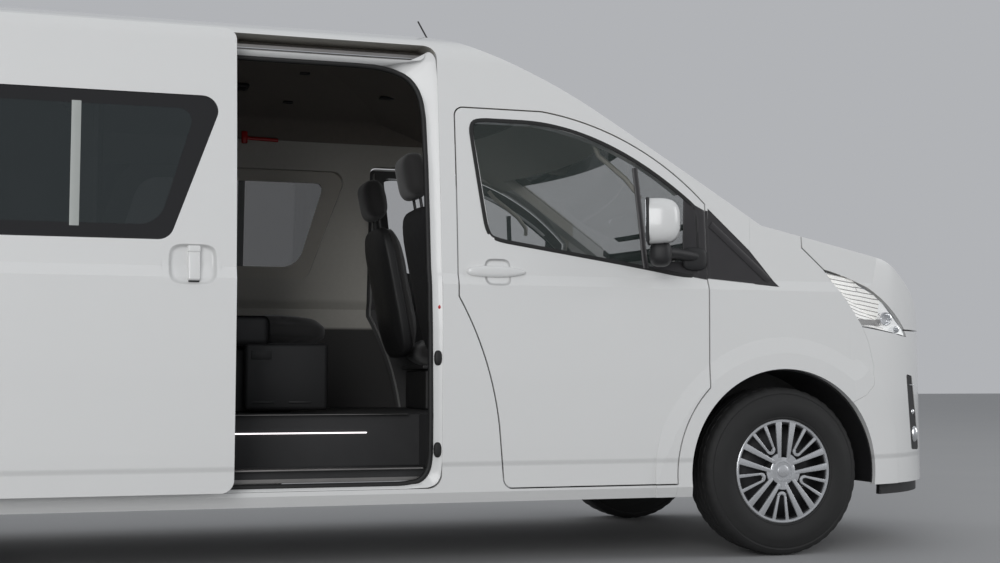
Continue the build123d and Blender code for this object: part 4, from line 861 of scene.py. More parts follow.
def cover_meshes(centre, side):
    """Wheel cover: ring, five pairs of broad spokes, five of slim ones on a bow, hub lobes, blank cap."""
    place = Matrix.Translation(centre) @ Matrix.Diagonal((1, side, 1, 1))
    pieces = []
    for profile, loop in ((COVER_RING, True), (COVER_HUB, False)):
        mesh = lathe(profile, WHEEL_STEPS, (0, 0, 0), closed=loop)
        mesh.transform(place)
        pieces.append(mesh)
    middle = Vector((0.0, 0.0))
    for group in range(5):
        broad = COVER_TURN + 72 * group
        slim = broad + 36
        outward = Vector((cos(radians(slim)), sin(radians(slim))))
        for sign in (-1, 1):
            pieces.append(slab(spoke(broad, (0.25, sign * 0.092, 0.034), (0.965, sign * 0.155, 0.066)),
                               0.0935, 0.1042, place, 0.0024))
            pieces.append(slab(spoke(slim, (0.48, sign * 0.070, 0.022), (0.965, sign * 0.150, 0.036)),
                               0.0925, 0.1022, place, 0.0022))
        bow = arc_band(outward * 0.485, 0.046, 0.094, slim + 90, slim + 270)
        lobe = arc_band(middle, 0.22, 0.355, slim - 23, slim + 23)
        pieces.append(slab(bow, 0.0925, 0.1018, place, 0.0020))
        pieces.append(slab(lobe, 0.0930, 0.1026, place, 0.0022))
    return pieces


class VAN_OT_wheels(VanOperator, bpy.types.Operator):
    """Build the tyres with their tread and the spoked wheel covers"""
    bl_idname = "van.wheels"
    bl_label = "Wheels"

    def execute(self, context):
        for corner, axle, side in CORNERS:
            centre = axle + Vector((0, side * WHEEL_OUT, 0))
            body = f"wheel_{corner}"
            tread = tyre_mesh(centre, settings().tread_depth)
            tyre = piece(f"tread_{corner}", tread, "tyre_rubber", body, 30)
            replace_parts(tyre, f"tyre_{corner}")
            rim = [lathe([(radius, offset * side) for radius, offset in profile], WHEEL_STEPS, centre, closed=loop)
                   for profile, loop in ((RIM_BARREL, True), (RIM_DISC, False))]
            steel = piece(f"rim_{corner}", join_meshes(rim), "dark_steel", body)
            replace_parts(steel, f"wheel_{corner}")
            cover = join_meshes(cover_meshes(centre, side))
            piece(f"cover_{corner}", cover, "silver_cover", body, 40)
        return {"FINISHED"}


# Front door window: three points that its curved top edge runs through, then the rest of its outline.
WINDOW_TOP = [(0.842, 1.797), (1.210, 1.696), (1.556, 1.462)]
WINDOW_REST = [(1.556, 1.44), (1.556, 1.40), (1.556, 1.20), (1.530, 1.176), (1.292, 1.218), (1.05, 1.255),
               (0.80, 1.293), (0.672, 1.312), (0.640, 1.338), (0.625, 1.43), (0.588, 1.70), (0.580, 1.775),
               (0.602, 1.797), (0.72, 1.797)]
SAIL = [(1.504, 1.507), (1.595, 1.460), (1.595, 1.350), (1.595, 1.164), (1.536, 1.171), (1.487, 1.200),
        (1.490, 1.300)]
WEDGE = [(1.345, 1.206), (1.595, 1.162), (1.595, 1.238), (1.470, 1.236), (1.380, 1.240)]
DIVIDERS = ((-0.960, -1), (-0.150, 1), (-1.830, 1))


def door_window_outline(grow):
    """Rounded outline of the front door's window, grown outward."""
    path = []
    (x0, z0), (x1, z1), (x2, z2) = WINDOW_TOP
    for k in range(9):
        x = x0 + (x2 - x0) * k / 8
        a = (x - x1) * (x - x2) / ((x0 - x1) * (x0 - x2))
        b = (x - x0) * (x - x2) / ((x1 - x0) * (x1 - x2))
        c = (x - x0) * (x - x1) / ((x2 - x0) * (x2 - x1))
        path.append((x, a * z0 + b * z1 + c * z2))
    path = [Vector(spot) for spot in path + WINDOW_REST]
    out = []
    for k, spot in enumerate(path):
        along = direction(path, k, True)
        out.append(tuple(spot + grow * Vector((-along.y, along.x))))
    return smooth_closed(out)


class VAN_OT_window_trim(VanOperator, bpy.types.Operator):
    """Add the rubber frames, the bars that divide the windows and the corner trim"""
    bl_idname = "van.window_trim"
    bl_label = "Window trim"

    def execute(self, context):
        for side, name in SIDES:
            body = f"door_{name}"
            door = surface_of(body, f"door_glass_{name}")
            rim = band_on_side(door, door_window_outline(0.006), side, 0.016, 0.0026)
            piece(f"window_frame_{name}", rim, "rubber", body)
            upright = straight(1.318, 1.205, -0.003, 0.0425)
            bar = band_on_side(door, upright, side, 0.024, 0.006, False, 0.001)
            panes = [bar, patch(door, SAIL, side, 0.0035), patch(door, WEDGE, side, 0.0032)]
            piece(f"window_bar_{name}", join_meshes(panes), "trim_plastic", body)
            wing = surface_of("corner_panes", "body_shell", "front_fenders")
            slope, gap = straight(1.622, 1.400, 0.0262, -0.0235), straight(1.604, 1.168, 0.0, 0.029)
            ridge = band_on_side(wing, slope, side, 0.030, 0.005, False, 0.001)
            strip = band_on_side(wing, gap, side, 0.013, 0.001, False, 0.001)
            piece(f"corner_ridge_{name}", join_meshes([ridge, strip]), "trim_plastic", BODY)
        glass = surface_of("side_windows", "sliding_door_glass")
        bars = [band_on_side(glass, straight(x, 1.305, 0.0, 0.0471), side, 0.034, 0.002, False, 0.001)
                for x, side in DIVIDERS]
        piece("pane_dividers", join_meshes(bars), "divider", BODY)
        return {"FINISHED"}


def egg(centre, radii, power, turn=0.0, flat=None, rings=18, sides=28):
    """Closed rounded body whose power sets how square it is, cut flat at a place along its own X."""
    build = bmesh.new()

    def soft(value):
        return copysign(abs(value) ** power, value)

    rows = []
    for i in range(1, rings):
        v = pi * i / rings - pi / 2
        row = []
        for j in range(sides):
            u = 2 * pi * j / sides
            x = radii[0] * soft(cos(v)) * soft(cos(u))
            y = radii[1] * soft(cos(v)) * soft(sin(u))
            row.append(build.verts.new((x if flat is None else max(flat, x), y, radii[2] * soft(sin(v)))))
        rows.append(row)
    join_rows(build, rows)
    build.faces.new(reversed(rows[0]))
    build.faces.new(rows[-1])
    bmesh.ops.rotate(build, cent=(0, 0, 0), matrix=Matrix.Rotation(turn, 3, "Z"), verts=build.verts)
    bmesh.ops.translate(build, vec=Vector(centre), verts=build.verts)
    return to_mesh(build)


class VAN_OT_handles(VanOperator, bpy.types.Operator):
    """Add the bar handles over their pressed dishes in the doors"""
    bl_idname = "van.handles"
    bl_label = "Door handles"

    def execute(self, context):
        for side, name in SIDES:
            door = surface_of(f"door_{name}")
            skin = cover_patch(door, (0.654, 1.174), (0.120, 0.062), side)
            piece(f"handle_skin_{name}", skin, "door_paint", f"door_{name}", 60)
            spot = on_side(door, 0.535, 1.176, side)[0]
            centre = (0.668, spot.y + side * 0.004, 1.176)
            bar = tapered(egg(centre, (0.124, 0.017, 0.0235), 0.7), centre, 0.124, 0.55)
            piece(f"handle_{name}", bar, "white_paint", f"door_{name}", 60)
        door = surface_of("sliding_door")
        skin = cover_patch(door, (-0.538, 1.172), (0.108, 0.086), -1)
        piece("handle_skin_slide", skin, "door_paint", BODY, 60)
        high, low = (on_side(door, -0.655, z, -1)[0] for z in (1.240, 1.108))
        high, low = Vector((-0.531, high.y - 0.004, 1.240)), Vector((-0.531, low.y - 0.004, 1.108))
        lean = Matrix.Rotation(atan2(low.y - high.y, high.z - low.z), 3, "X")
        bar = rounded_box(low.lerp(high, 0.5), (0.045, 0.026, 0.132), 0.007, lean, 3)
        top = low.lerp(high, 0.90) + Vector((0, -0.003, 0))
        cap = rounded_box(top, (0.047, 0.026, 0.026), 0.005, lean, 3)
        piece("handle_slide", join_meshes([bar, cap]), "white_paint", BODY, 50)
        slot = rounded_box(low + Vector((0, 0.003, 0)), (0.040, 0.006, 0.009), 0.002, lean)
        piece("handle_slot", slot, "black_plastic", BODY)
        return {"FINISHED"}


class VAN_OT_mirrors(VanOperator, bpy.types.Operator):
    """Build the door mirrors: painted cap, black frame, glass and arm"""
    bl_idname = "van.mirrors"
    bl_label = "Door mirrors"

    def execute(self, context):
        for side, name in SIDES:
            mid = Vector((1.298, side * 1.068, 1.387))
            turn = radians(25) * side
            swing = Matrix.Rotation(turn, 3, "Z")
            cap = egg(mid, (0.112, 0.086, 0.094), 0.62, turn, flat=-0.012)
            piece(f"mirror_cap_{name}", cap, "white_paint", f"door_{name}", 60)
            rear = rounded_box(mid + swing @ Vector((-0.018, 0, 0)), (0.014, 0.166, 0.182), 0.006, swing)
            base = egg(mid + Vector((0.036, side * -0.006, -0.132)), (0.046, 0.060, 0.052), 0.7, turn)
            arm = tube([(1.345, side * 1.045, 1.266), (1.430, side * 1.005, 1.266),
                        (1.500, side * 0.970, 1.262), (1.545, side * 0.945, 1.258)], 0.022, 16)
            foot = egg((1.535, side * 0.950, 1.250), (0.056, 0.018, 0.048), 0.6)
            holder = piece(f"mirror_arm_{name}", join_meshes([rear, base, arm, foot]), "black_plastic",
                           f"door_{name}", 50)
            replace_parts(holder, f"mirror_{name}")
            glass = rounded_box(mid + swing @ Vector((-0.0255, 0, 0)), (0.002, 0.148, 0.164), 0.0008, swing)
            piece(f"mirror_glass_{name}", glass, "mirror_glass", f"door_{name}")
        return {"FINISHED"}


# Outline of a headlamp as (x, z), and its middle.
LAMP = [(2.149, 1.214), (2.230, 1.194), (2.310, 1.160), (2.392, 1.118), (2.460, 1.078), (2.530, 1.028),
        (2.600, 0.962), (2.620, 0.934), (2.546, 0.944), (2.472, 0.953), (2.398, 0.963), (2.324, 0.972),
        (2.280, 1.033), (2.236, 1.094), (2.192, 1.154)]
LAMP_MIDDLE = Vector((2.37, 1.06))


class VAN_OT_headlamps(VanOperator, bpy.types.Operator):
    """Build the headlamps' bowls and their two projectors behind the clear lenses"""
    bl_idname = "van.headlamps"
    bl_label = "Headlamps"

    def execute(self, context):
        tree = surface_of("headlamp_lenses")
        rim = [on_side(tree, *Vector(point).lerp(LAMP_MIDDLE, 0.05), -1) for point in LAMP]
        build = bmesh.new()
        layers = []
        for depth, shrink in ((0.005, 0.0), (0.024, 0.10), (0.030, 0.22)):
            row = []
            for spot, normal in rim:
                middle = Vector((LAMP_MIDDLE.x, spot.y, LAMP_MIDDLE.y))
                row.append(build.verts.new(spot.lerp(middle, shrink) - normal * depth))
            layers.append(row)
        join_rows(build, layers)
        last = layers[-1]
        centre = sum((v.co for v in last), Vector()) / len(last)
        tip = build.verts.new(centre + Vector((-0.01, 0.02, 0)))
        for here, there in zip(last, last[1:] + last[:1]):
            build.faces.new((here, there, tip))
        bowl = to_mesh(build)
        lamp = piece("lamp_bowls", join_meshes([bowl, mirrored(bowl)]), "lamp_bowl", BODY, 50)
        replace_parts(lamp, "headlamp_housings")
        projectors = []
        for x, z, radius in ((2.470, 1.010, 0.030), (2.545, 0.965, 0.015)):
            spot, normal = on_side(tree, x, z, -1)
            profile = [(0.0, 0.016), (radius * 0.8, 0.013), (radius, 0.0), (radius, -0.030),
                       (radius * 0.85, -0.031), (radius * 0.82, 0.002), (0.0, 0.006)]
            projectors.append(lathe(profile, 32, spot - normal * 0.024, closed=False))
        both = [mirrored(mesh) for mesh in projectors] + projectors
        piece("lamp_slats", join_meshes(both), "bright_metal", BODY, 50)
        return {"FINISHED"}


# Edge of the side doorway: inner x, z beside the seal, then outer x, z at the body.
JAMB = [
    (-0.370, 0.334, -0.370, 0.318), (0.290, 0.334, 0.290, 0.318), (0.362, 0.345, 0.404, 0.322),
    (0.395, 0.385, 0.436, 0.348), (0.404, 0.450, 0.443, 0.410), (0.403, 0.600, 0.443, 0.600),
    (0.399, 0.960, 0.443, 0.960), (0.397, 1.140, 0.443, 1.140), (0.396, 1.180, 0.443, 1.180),
    (0.394, 1.400, 0.443, 1.400), (0.392, 1.600, 0.443, 1.600), (0.387, 1.800, 0.443, 1.800),
    (0.379, 1.875, 0.443, 1.900), (0.360, 1.930, 0.443, 1.985), (0.327, 1.972, 0.438, 2.066),
    (0.275, 1.996, 0.402, 2.088), (0.200, 2.007, 0.388, 2.040), (0.100, 2.010, 0.250, 2.037),
    (-0.120, 2.010, -0.120, 2.037), (-0.370, 2.010, -0.370, 2.037), (-0.820, 2.010, -0.840, 2.037),
    (-0.870, 1.960, -0.897, 1.990), (-0.874, 1.200, -0.897, 1.200), (-0.874, 0.400, -0.897, 0.380),
    (-0.830, 0.334, -0.850, 0.318),
]


def rounded_loop(points, cuts=(0.014, 0.005)):
    """Closed run of points with every corner cut off short, once for each length of cut."""
    for cut in cuts:
        points = [spot + (other - spot) * min(0.3, cut / (other - spot).length)
                  for before, spot, after in zip(points[-1:] + points[:-1], points, points[1:] + points[:1])
                  for other in (before, after)]
    return points


class VAN_OT_doorway(VanOperator, bpy.types.Operator):
    """Dress the side doorway: weather strip, step plate, light strip, buffers and roller track"""
    bl_idname = "van.doorway"
    bl_label = "Doorway"

    def execute(self, context):
        strip = rounded_box((-0.178, -0.642, 0.527), (0.765, 0.006, 0.0055), 0.002)
        piece("step_light", strip, "glow", BODY)
        plates = [rounded_box((-0.105, -0.900, 0.3960), (0.96, 0.050, 0.006), 0.002),
                  rounded_box((-0.105, -0.650, 0.6015), (0.96, 0.030, 0.003), 0.001)]
        piece("step_plate", join_meshes(plates), "bare_steel", BODY)
        treads = [rounded_box((-0.085, -0.700 - 0.026 * k, 0.3945), (0.98, 0.010, 0.004), 0.0012)
                  for k in range(7)]
        piece("step_treads", join_meshes(treads), "black_plastic", BODY)
        shell = surface_of("body_shell")
        inner, outer = [], []
        for x0, z0, x1, z1 in JAMB:
            edge = on_side(shell, 0.46, z1, -1)[0].y
            inner.append(Vector((x0, edge + 0.036, z0)))
            outer.append(Vector((x1, edge + 0.005, z1)))
        inner, outer = rounded_loop(inner), rounded_loop(outer)
        build = bmesh.new()
        crest = [a.lerp(b, 0.35) + Vector((0, -0.006, 0)) for a, b in zip(outer, inner)]
        rows = [[build.verts.new(spot) for spot in row]
                for row in (outer, crest, inner, [spot + Vector((0, 0.012, 0)) for spot in inner],
                            [spot + Vector((0, 0.020, 0)) for spot in outer])]
        join_rows(build, rows + rows[:1])
        piece("doorway_flange", to_mesh(build), "flange_paint", BODY, 40)
        seal = tube([spot + Vector((0, -0.004, 0)) for spot in inner], 0.011, 12, True)
        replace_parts(piece("doorway_seal", seal, "rubber", BODY, 60), "door_seal")
        spots = [on_side(shell, 0.452, z, -1)[0] for z in (0.829, 0.468, 1.030)]
        buffers = [egg(spot + Vector((-0.026, 0.012, 0)), (0.016, 0.012, 0.030), 0.8) for spot in spots[:2]]
        piece("door_buffers", join_meshes(buffers), "rubber", BODY)
        button = egg(spots[2] + Vector((-0.020, 0.014, 0)), (0.006, 0.005, 0.009), 1.0)
        piece("jamb_button", button, "red_plastic", BODY)
        track = [rounded_box((-0.22, -0.7745, 2.062), (1.24, 0.006, 0.004), 0.001),
                 rounded_box((-0.22, -0.7745, 2.046), (1.24, 0.004, 0.003), 0.001)]
        piece("track_edges", join_meshes(track), "bright_metal", BODY)
        hook = rounded_box((-0.40, -0.800, 2.052), (0.050, 0.030, 0.018), 0.004)
        piece("roller_bracket", hook, "bare_steel", BODY)
        return {"FINISHED"}


LEAN_PER_HEIGHT = 0.2
SEAT_LEAN = atan2(LEAN_PER_HEIGHT, 1.0)


def seat_parts(front_x, low_z, y, width, depth, back):
    """Sizes of one seat's cushion, back and head restraint, as (centre, size, lean) each."""
    cushion = ((front_x - depth / 2 - 0.018, y, low_z + 0.080),
               (depth + 0.02, width - 0.03, 0.115), radians(-2.5))
    backrest = ((front_x - depth - back * 0.105 - 0.036, y, low_z + back * 0.5 + 0.075),
                (0.084, width - 0.03, back - 0.01), SEAT_LEAN)
    head = ((front_x - depth - back * LEAN_PER_HEIGHT - 0.085, y, low_z + back + 0.192),
            (0.112, 0.270, 0.205), SEAT_LEAN)
    return cushion, backrest, head


def cushion_mesh(size, crown, seams):
    """Pad about the origin, crowned on top, pulled in between its corners and sewn across."""
    length, width, height = size
    build = bmesh.new()
    bmesh.ops.create_cube(build, size=1.0)
    bmesh.ops.subdivide_edges(build, edges=build.edges, cuts=11, use_grid_fill=True)
    for vert in build.verts:
        x, y, z = vert.co * 2
        reach = max(abs(x), abs(y), abs(z)) / (abs(x) ** 5 + abs(y) ** 5 + abs(z) ** 5) ** 0.2
        puff = 1 - 0.25 * max(abs(x), abs(y)) ** 4 + (crown * (1 - x * x) * (1 - y * y) if z > 0 else 0)
        sewn = sum(max(0.0, 1 - abs(y - s) / 0.045) for s in seams)
        sewn += sum(max(0.0, 1 - abs(x - s) / 0.05) for s in seams if abs(y) < 0.5)
        x, y, z = x * reach, y * reach, z * reach
        groove = 0.16 * sewn if z > 0.4 else 0
        vert.co = Vector((x * length / 2, y * width / 2, z * height / 2 * (puff - groove)))
    bmesh.ops.smooth_vert(build, verts=build.verts, factor=0.4,
                          use_axis_x=True, use_axis_y=True, use_axis_z=True)
    return to_mesh(build)


SWOLLEN = {}
PAD_SLACK = 0.010
CLOTH_FRAMES = 20


def swell(mesh, name, limit):
    """Inflate a pad with cloth pressure and keep how far each point moved within the limit."""
    item = bpy.data.objects.new(name, mesh)
    bpy.context.scene.collection.objects.link(item)
    bpy.context.view_layer.objects.active = item
    remesh = item.modifiers.new("even", "REMESH")
    remesh.mode = "VOXEL"
    remesh.voxel_size = 0.012
    with bpy.context.temp_override(object=item, active_object=item, selected_objects=[item]):
        bpy.ops.object.modifier_apply(modifier="even")
    rest = [v.co.copy() for v in item.data.vertices]
    cloth = item.modifiers.new("air", "CLOTH")
    cloth.settings.use_pressure = True
    cloth.settings.uniform_pressure_force = 4.0
    cloth.settings.effector_weights.gravity = 0.0
    cloth.settings.quality = 5
    for step in range(1, CLOTH_FRAMES + 1):
        bpy.context.scene.frame_set(step)
    graph = bpy.context.evaluated_depsgraph_get()
    moved = item.evaluated_get(graph).to_mesh()
    spots = []
    for first, vert in zip(rest, moved.vertices):
        shift = vert.co - first
        length = shift.length
        if length > 0:
            shift *= limit * (1 - exp(-length / limit)) / length
        spots.append(first + shift)
    item.evaluated_get(graph).to_mesh_clear()
    item.modifiers.clear()
    bpy.context.scene.frame_set(1)
    for vert, spot in zip(item.data.vertices, spots):
        vert.co = spot
    result = item.data.copy()
    bpy.data.objects.remove(item)
    return result


def pad(kind, size, crown, seams):
    """A pad mesh of that size about the origin, made once per kind and copied."""
    if kind not in SWOLLEN:
        mesh = cushion_mesh([s - PAD_SLACK for s in size], crown, seams)
        mesh = swell(mesh, f"form_{kind}", settings().cushion_rise)
        SWOLLEN[kind] = mesh
    return SWOLLEN[kind].copy()


def place_pad(mesh, centre, lean, upright):
    """Move a pad to its place; an upright one stands on its edge and leans back."""
    turn = Matrix.Rotation(-lean, 4, "Y")
    if upright:
        turn = turn @ Matrix.Rotation(radians(90), 4, "Y")
    mesh.transform(Matrix.Translation(centre) @ turn)
    return mesh


# Rows of seats: front edge, height, cushion depth, back height, then (middle, width) across the van.
ROWS = [
    (0.150, 0.880, 0.400, 0.600, [(0.05, 0.49), (0.55, 0.49)]),
    (-0.680, 0.880, 0.440, 0.600, [(0.09, 0.47), (0.57, 0.47), (-0.59, 0.46)]),
    (-1.400, 0.880, 0.440, 0.600, [(0.09, 0.47), (0.57, 0.47), (-0.59, 0.46)]),
    (-2.110, 0.880, 0.440, 0.600, [(-0.615, 0.41), (-0.205, 0.41), (0.205, 0.41), (0.615, 0.41)]),
    (1.130, 0.790, 0.480, 0.640, [(0.43, 0.52), (-0.43, 0.52)]),
]


def side_cover(x, y, z):
    """Cover at one end of the first bench, with two feet, a latch and an arm block."""
    return [
        rounded_box((x, y, z - 0.125), (0.365, 0.030, 0.290), 0.018, segments=3),
        rounded_box((x - 0.10, y, z - 0.235), (0.10, 0.036, 0.014), 0.005),
        rounded_box((x + 0.06, y, z - 0.235), (0.10, 0.036, 0.014), 0.005),
        rounded_box((x - 0.11, y, z - 0.030), (0.09, 0.036, 0.040), 0.005),
        rounded_box((x - 0.17, y, z + 0.075), (0.19, 0.034, 0.13), 0.030, segments=4),
    ]


class VAN_OT_seats(VanOperator, bpy.types.Operator):
    """Upholster every seat with padded cushions, backs and head restraints"""
    bl_idname = "van.seats"
    bl_label = "Seats"

    def execute(self, context):
        for row, (front_x, low_z, depth, back, seats) in enumerate(ROWS):
            pads, shells = [], []
            for y, width in seats:
                cushion, backrest, head = seat_parts(front_x, low_z, y, width, depth, back)
                key = f"{int(depth * 1000)}_{int(width * 1000)}"
                for kind, (centre, size, lean), crown, upright in (
                        ("cushion", cushion, 0.16, False), ("back", backrest, 0.22, True),
                        ("head", head, 0.3, True)):
                    flat = (size[2], size[1], size[0]) if upright else size
                    mesh = (pad("head_all", flat, crown, ()) if kind == "head"
                            else pad(f"{kind}_{key}", flat, crown, (-0.52, 0.52)))
                    pads.append(place_pad(mesh, centre, lean, upright))
                top = Vector((backrest[0][0] - 0.080, y, low_z + back + 0.05))
                for dy in (-0.06, 0.06):
                    ends = [top + Vector((0.01, dy, -0.04)), top + Vector((-0.012, dy, 0.09))]
                    shells.append(tube(ends, 0.007, 8))
                turn = Matrix.Rotation(-SEAT_LEAN, 3, "Y")
                shell = cushion_mesh((back, width - 0.034, 0.090), 0.0, ())
                behind = Vector(backrest[0]) + turn @ Vector((-0.030, 0, -0.012))
                shells.append(place_pad(shell, behind, SEAT_LEAN, True))
                shells.append(rounded_box((front_x - depth / 2 - 0.018, y, low_z + 0.014),
                                          (depth - 0.02, width - 0.05, 0.022), 0.008))
            if row == 0:
                for y in (-0.196, 0.80):
                    shells += side_cover(front_x - 0.215, y, low_z)
            covers = piece(f"seat_pads_{row}", join_meshes(pads), "seat_cloth", BODY, 70)
            piece(f"seat_shells_{row}", join_meshes(shells), "dash_plastic", BODY, 40)
            if row == 0:
                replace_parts(covers, "front_seats", "passenger_seats")
        return {"FINISHED"}


GRIP = [(1.145, 1.745), (1.175, 1.700), (1.235, 1.655), (1.300, 1.605), (1.345, 1.550), (1.352, 1.520)]
GRIP_OUT = (0.004, 0.030, 0.036, 0.036, 0.030, 0.004)


class VAN_OT_cabin(VanOperator, bpy.types.Operator):
    """Add the cabin's trim: lining vents, window hammer, window surrounds, grab handles and dash hoods"""
    bl_idname = "van.cabin"
    bl_label = "Cabin trim"

    def execute(self, context):
        lining = surface_of("headliner")

        def lining_height(x, y):
            return lining.ray_cast(Vector((x, y, 1.5)), Vector((0, 0, 1)))[0].z

        vents = []
        for x in (-0.25, -1.05, -1.85):
            for y in (-0.45, 0.45):
                z = lining_height(x, y)
                vents.append(rounded_box((x, y, z - 0.006), (0.16, 0.10, 0.018), 0.006))
                vents += [rounded_box((x + 0.03 * k, y, z - 0.016), (0.006, 0.08, 0.006), 0.002)
                          for k in range(-2, 3)]
        for x, y, size in ((0.504, 0.401, 0.045), (0.070, 0.234, 0.030), (0.043, 0.600, 0.030)):
            z = lining_height(x, y)
            vents.append(rounded_box((x, y, z - 0.002), (size * 1.6, size, 0.012), 0.004))
        piece("roof_vents", join_meshes(vents), "black_plastic", BODY)
        hammer = [tube([(-0.16, 0.780, 1.968), (0.02, 0.780, 1.962)], 0.009, 10),
                  rounded_box((-0.150, 0.776, 1.969), (0.030, 0.022, 0.062), 0.006)]
        piece("window_hammer", join_meshes(hammer), "red_plastic", BODY)
        walls = surface_of("body_shell", "side_windows")
        rings = []
        for side, clear in ((1, QUARTER_CLEAR), (-1, QUARTER_CLEAR), (1, SLIDE_CLEAR)):
            spots = [walls.ray_cast(Vector((x, side * 0.5, z)), Vector((0, side, 0)))[0]
                     for x, z in clear_outline(*clear, 0.050)]
            nearest = min(abs(spot.y) for spot in spots)
            spots = [Vector((s.x, side * min(abs(s.y), nearest + 0.03), s.z)) for s in spots]
            normals = [Vector((0, -side, 0))] * len(spots)
            rings.append(band(spots, normals, 0.112, 0.008, 0.004, True))
        piece("window_surrounds", join_meshes(rings), "cabin_trim", BODY, 50)
        shell = surface_of("body_shell")
        handles = []
        for side, _ in SIDES:
            path = []
            for (x, z), out in zip(GRIP, GRIP_OUT):
                hit = shell.ray_cast(Vector((x, 0.0, z)), Vector((0, side, 0)))[0]
                path.append((x, (side * 0.80 if hit is None else hit.y) - side * out, z))
            handles.append(tube(path, 0.011, 10))
        piece("grab_handles", join_meshes(handles), "cabin_trim", BODY, 60)
        hoods = [rounded_box((1.455, 0.43, 1.262), (0.15, 0.40, 0.05), 0.018),
                 rounded_box((1.420, 0.02, 1.120), (0.05, 0.28, 0.16), 0.010),
                 rounded_box((1.450, -0.43, 1.225), (0.12, 0.36, 0.04), 0.014)]
        piece("dash_hoods", join_meshes(hoods), "dash_plastic", BODY)
        return {"FINISHED"}


PLATE = (0.004, 0.50, 0.115)


class VAN_OT_plates(VanOperator, bpy.types.Operator):
    """Add the blank plates, bumper lamps and tail handle"""
    bl_idname = "van.plates"
    bl_label = "Plates and small lamps"

    def execute(self, context):
        gate = surface_of("tailgate")
        hit = gate.ray_cast(Vector((-3.2, 0, 0.98)), Vector((1, 0, 0)))[0]
        rear = rounded_box((hit.x + 0.0005, 0, 0.98), PLATE, 0.0015)
        piece("rear_plate", rear, "plate_white", "tailgate")
        ledge = rounded_box((hit.x + 0.008, 0, 1.065), (0.020, 0.62, 0.040), 0.006)
        piece("gate_handle", ledge, "black_plastic", "tailgate")
        grilles = surface_of("nose_grilles")
        fogs = []
        for side, _ in SIDES:
            for x, z, radii in ((2.70, 0.50, (0.020, 0.020, 0.036)), (2.68, 0.60, (0.010, 0.010, 0.012)),
                                (2.66, 0.72, (0.022, 0.010, 0.003))):
                spot = grilles.find_nearest(Vector((x, side * 0.80, z)))[0]
                fogs.append(egg((spot.x, spot.y, z), radii, 0.9))
        piece("fog_lamps", join_meshes(fogs), "bright_metal", BODY, 60)
        nose = surface_of("front_bumper", "nose_grilles")
        hit = nose.ray_cast(Vector((3.2, 0, 0.60)), Vector((-1, 0, 0)))[0]
        front = rounded_box((hit.x - 0.0019, 0, 0.60), PLATE, 0.0015)
        piece("front_plate", front, "plate_white", BODY)
        return {"FINISHED"}


# Lamps of the stage: place, size in metres, power in watts, and the point that it is aimed at.
LAMPS = (
    ("key_lamp", (-9.8, -18.5, 6.5), 11.0, 1600.0, (0, 0, 1.0)),
    ("fill_lamp", (18.0, -7.0, 7.0), 9.0, 600.0, (1.5, 0, 0.8)),
    ("back_lamp", (-13.0, 15.0, 9.0), 11.0, 650.0, (0, 0, 1.0)),
)
SKY_LIGHT = (0.80, 0.83, 0.87, 1.0)
SKY_STRENGTH = 0.54
BACKDROP = (0.44, 0.45, 0.47, 1.0)
# The photograph's camera, fitted to the wheels, the waist line and the door edges.
CAMERA_PLACE = (-0.9363, -6.3268, 0.7420)
CAMERA_PITCH, CAMERA_YAW = 4.0245, -16.756
CAMERA_LENS, CAMERA_SENSOR = 50.4, 36.0


def lay_floor(scene):
    build = bmesh.new()
    bmesh.ops.create_grid(build, x_segments=24, y_segments=24, size=60.0)
    floor = bpy.data.objects.new("floor", to_mesh(build))
    scene.collection.objects.link(floor)
    ground = Finish("studio_floor", (0.40, 0.40, 0.40), 0.8)
    ground.show(base_color=ground.blend(ground.noise(0.8), (0.385, 0.385, 0.39), (0.41, 0.41, 0.41)))
    floor.data.materials.append(ground.material)


def light_world(scene):
    """Pale sky for the light, and a plain grey where it is seen, mirrored or looked at through glass."""
    world = bpy.data.worlds.new("studio")
    scene.world = world
    world.use_nodes = True
    nodes, links = world.node_tree.nodes, world.node_tree.links
    sky = nodes["Background"]
    sky.inputs["Color"].default_value = SKY_LIGHT
    sky.inputs["Strength"].default_value = SKY_STRENGTH
    seen = nodes.new("ShaderNodeBackground")
    seen.inputs["Color"].default_value = BACKDROP
    path = nodes.new("ShaderNodeLightPath")
    share = path.outputs["Is Camera Ray"]
    for ray in ("Is Glossy Ray", "Is Transmission Ray"):
        either = nodes.new("ShaderNodeMath")
        either.operation = "ADD"
        either.use_clamp = True
        links.new(share, either.inputs[0])
        links.new(path.outputs[ray], either.inputs[1])
        share = either.outputs[0]
    mix = nodes.new("ShaderNodeMixShader")
    for socket, value in enumerate((share, sky.outputs[0], seen.outputs[0])):
        links.new(value, mix.inputs[socket])
    links.new(mix.outputs[0], nodes["World Output"].inputs["Surface"])


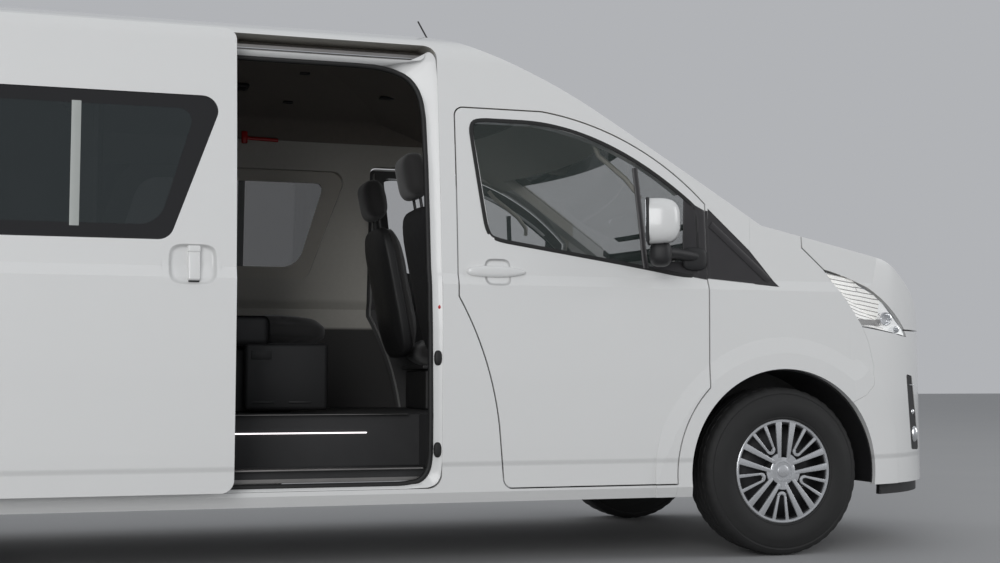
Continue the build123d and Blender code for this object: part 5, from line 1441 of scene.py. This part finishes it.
class VAN_OT_stage(VanOperator, bpy.types.Operator):
    """Set the floor, backdrop, studio lamps and the camera at the photograph's viewing angle"""
    bl_idname = "van.stage"
    bl_label = "Stage"

    def execute(self, context):
        scene = context.scene
        lay_floor(scene)
        light_world(scene)
        for name, place, size, power, aim in LAMPS:
            data = bpy.data.lights.new(name, "AREA")
            data.energy = power
            data.size = size
            lamp = bpy.data.objects.new(name, data)
            lamp.location = place
            lamp.rotation_euler = (Vector(aim) - Vector(place)).to_track_quat("-Z", "Y").to_euler()
            scene.collection.objects.link(lamp)
        data = bpy.data.cameras.new("camera")
        data.sensor_width = CAMERA_SENSOR
        data.lens = CAMERA_LENS
        camera = bpy.data.objects.new("camera", data)
        camera.location = CAMERA_PLACE
        camera.rotation_euler = (radians(90 + CAMERA_PITCH), 0, radians(CAMERA_YAW))
        scene.collection.objects.link(camera)
        scene.camera = camera
        scene.view_settings.view_transform = "Standard"
        return {"FINISHED"}


OPERATORS = (
    VAN_OT_finishes,
    VAN_OT_wheels,
    VAN_OT_window_trim,
    VAN_OT_handles,
    VAN_OT_mirrors,
    VAN_OT_headlamps,
    VAN_OT_doorway,
    VAN_OT_seats,
    VAN_OT_cabin,
    VAN_OT_plates,
    VAN_OT_stage,
)


class VAN_PT_panel(bpy.types.Panel):
    """The van's sizes, colours and build steps"""
    bl_idname = "VAN_PT_panel"
    bl_label = "Passenger van"
    bl_space_type = "VIEW_3D"
    bl_region_type = "UI"
    bl_category = "Van"

    def draw(self, context):
        for label in ("paint", "seat", "tread_depth", "cushion_rise"):
            self.layout.prop(context.scene.van_settings, label)
        for operator in OPERATORS:
            self.layout.operator(operator.bl_idname)


def register():
    for item in (VanSettings, *OPERATORS, VAN_PT_panel):
        bpy.utils.register_class(item)
    bpy.types.Scene.van_settings = bpy.props.PointerProperty(type=VanSettings)


def unregister():
    del bpy.types.Scene.van_settings
    for item in (VAN_PT_panel, *reversed(OPERATORS), VanSettings):
        bpy.utils.unregister_class(item)


def main():
    register()
    for operator in OPERATORS:
        group, name = operator.bl_idname.split(".")
        getattr(getattr(bpy.ops, group), name)()


if __name__ == "__main__":
    main()
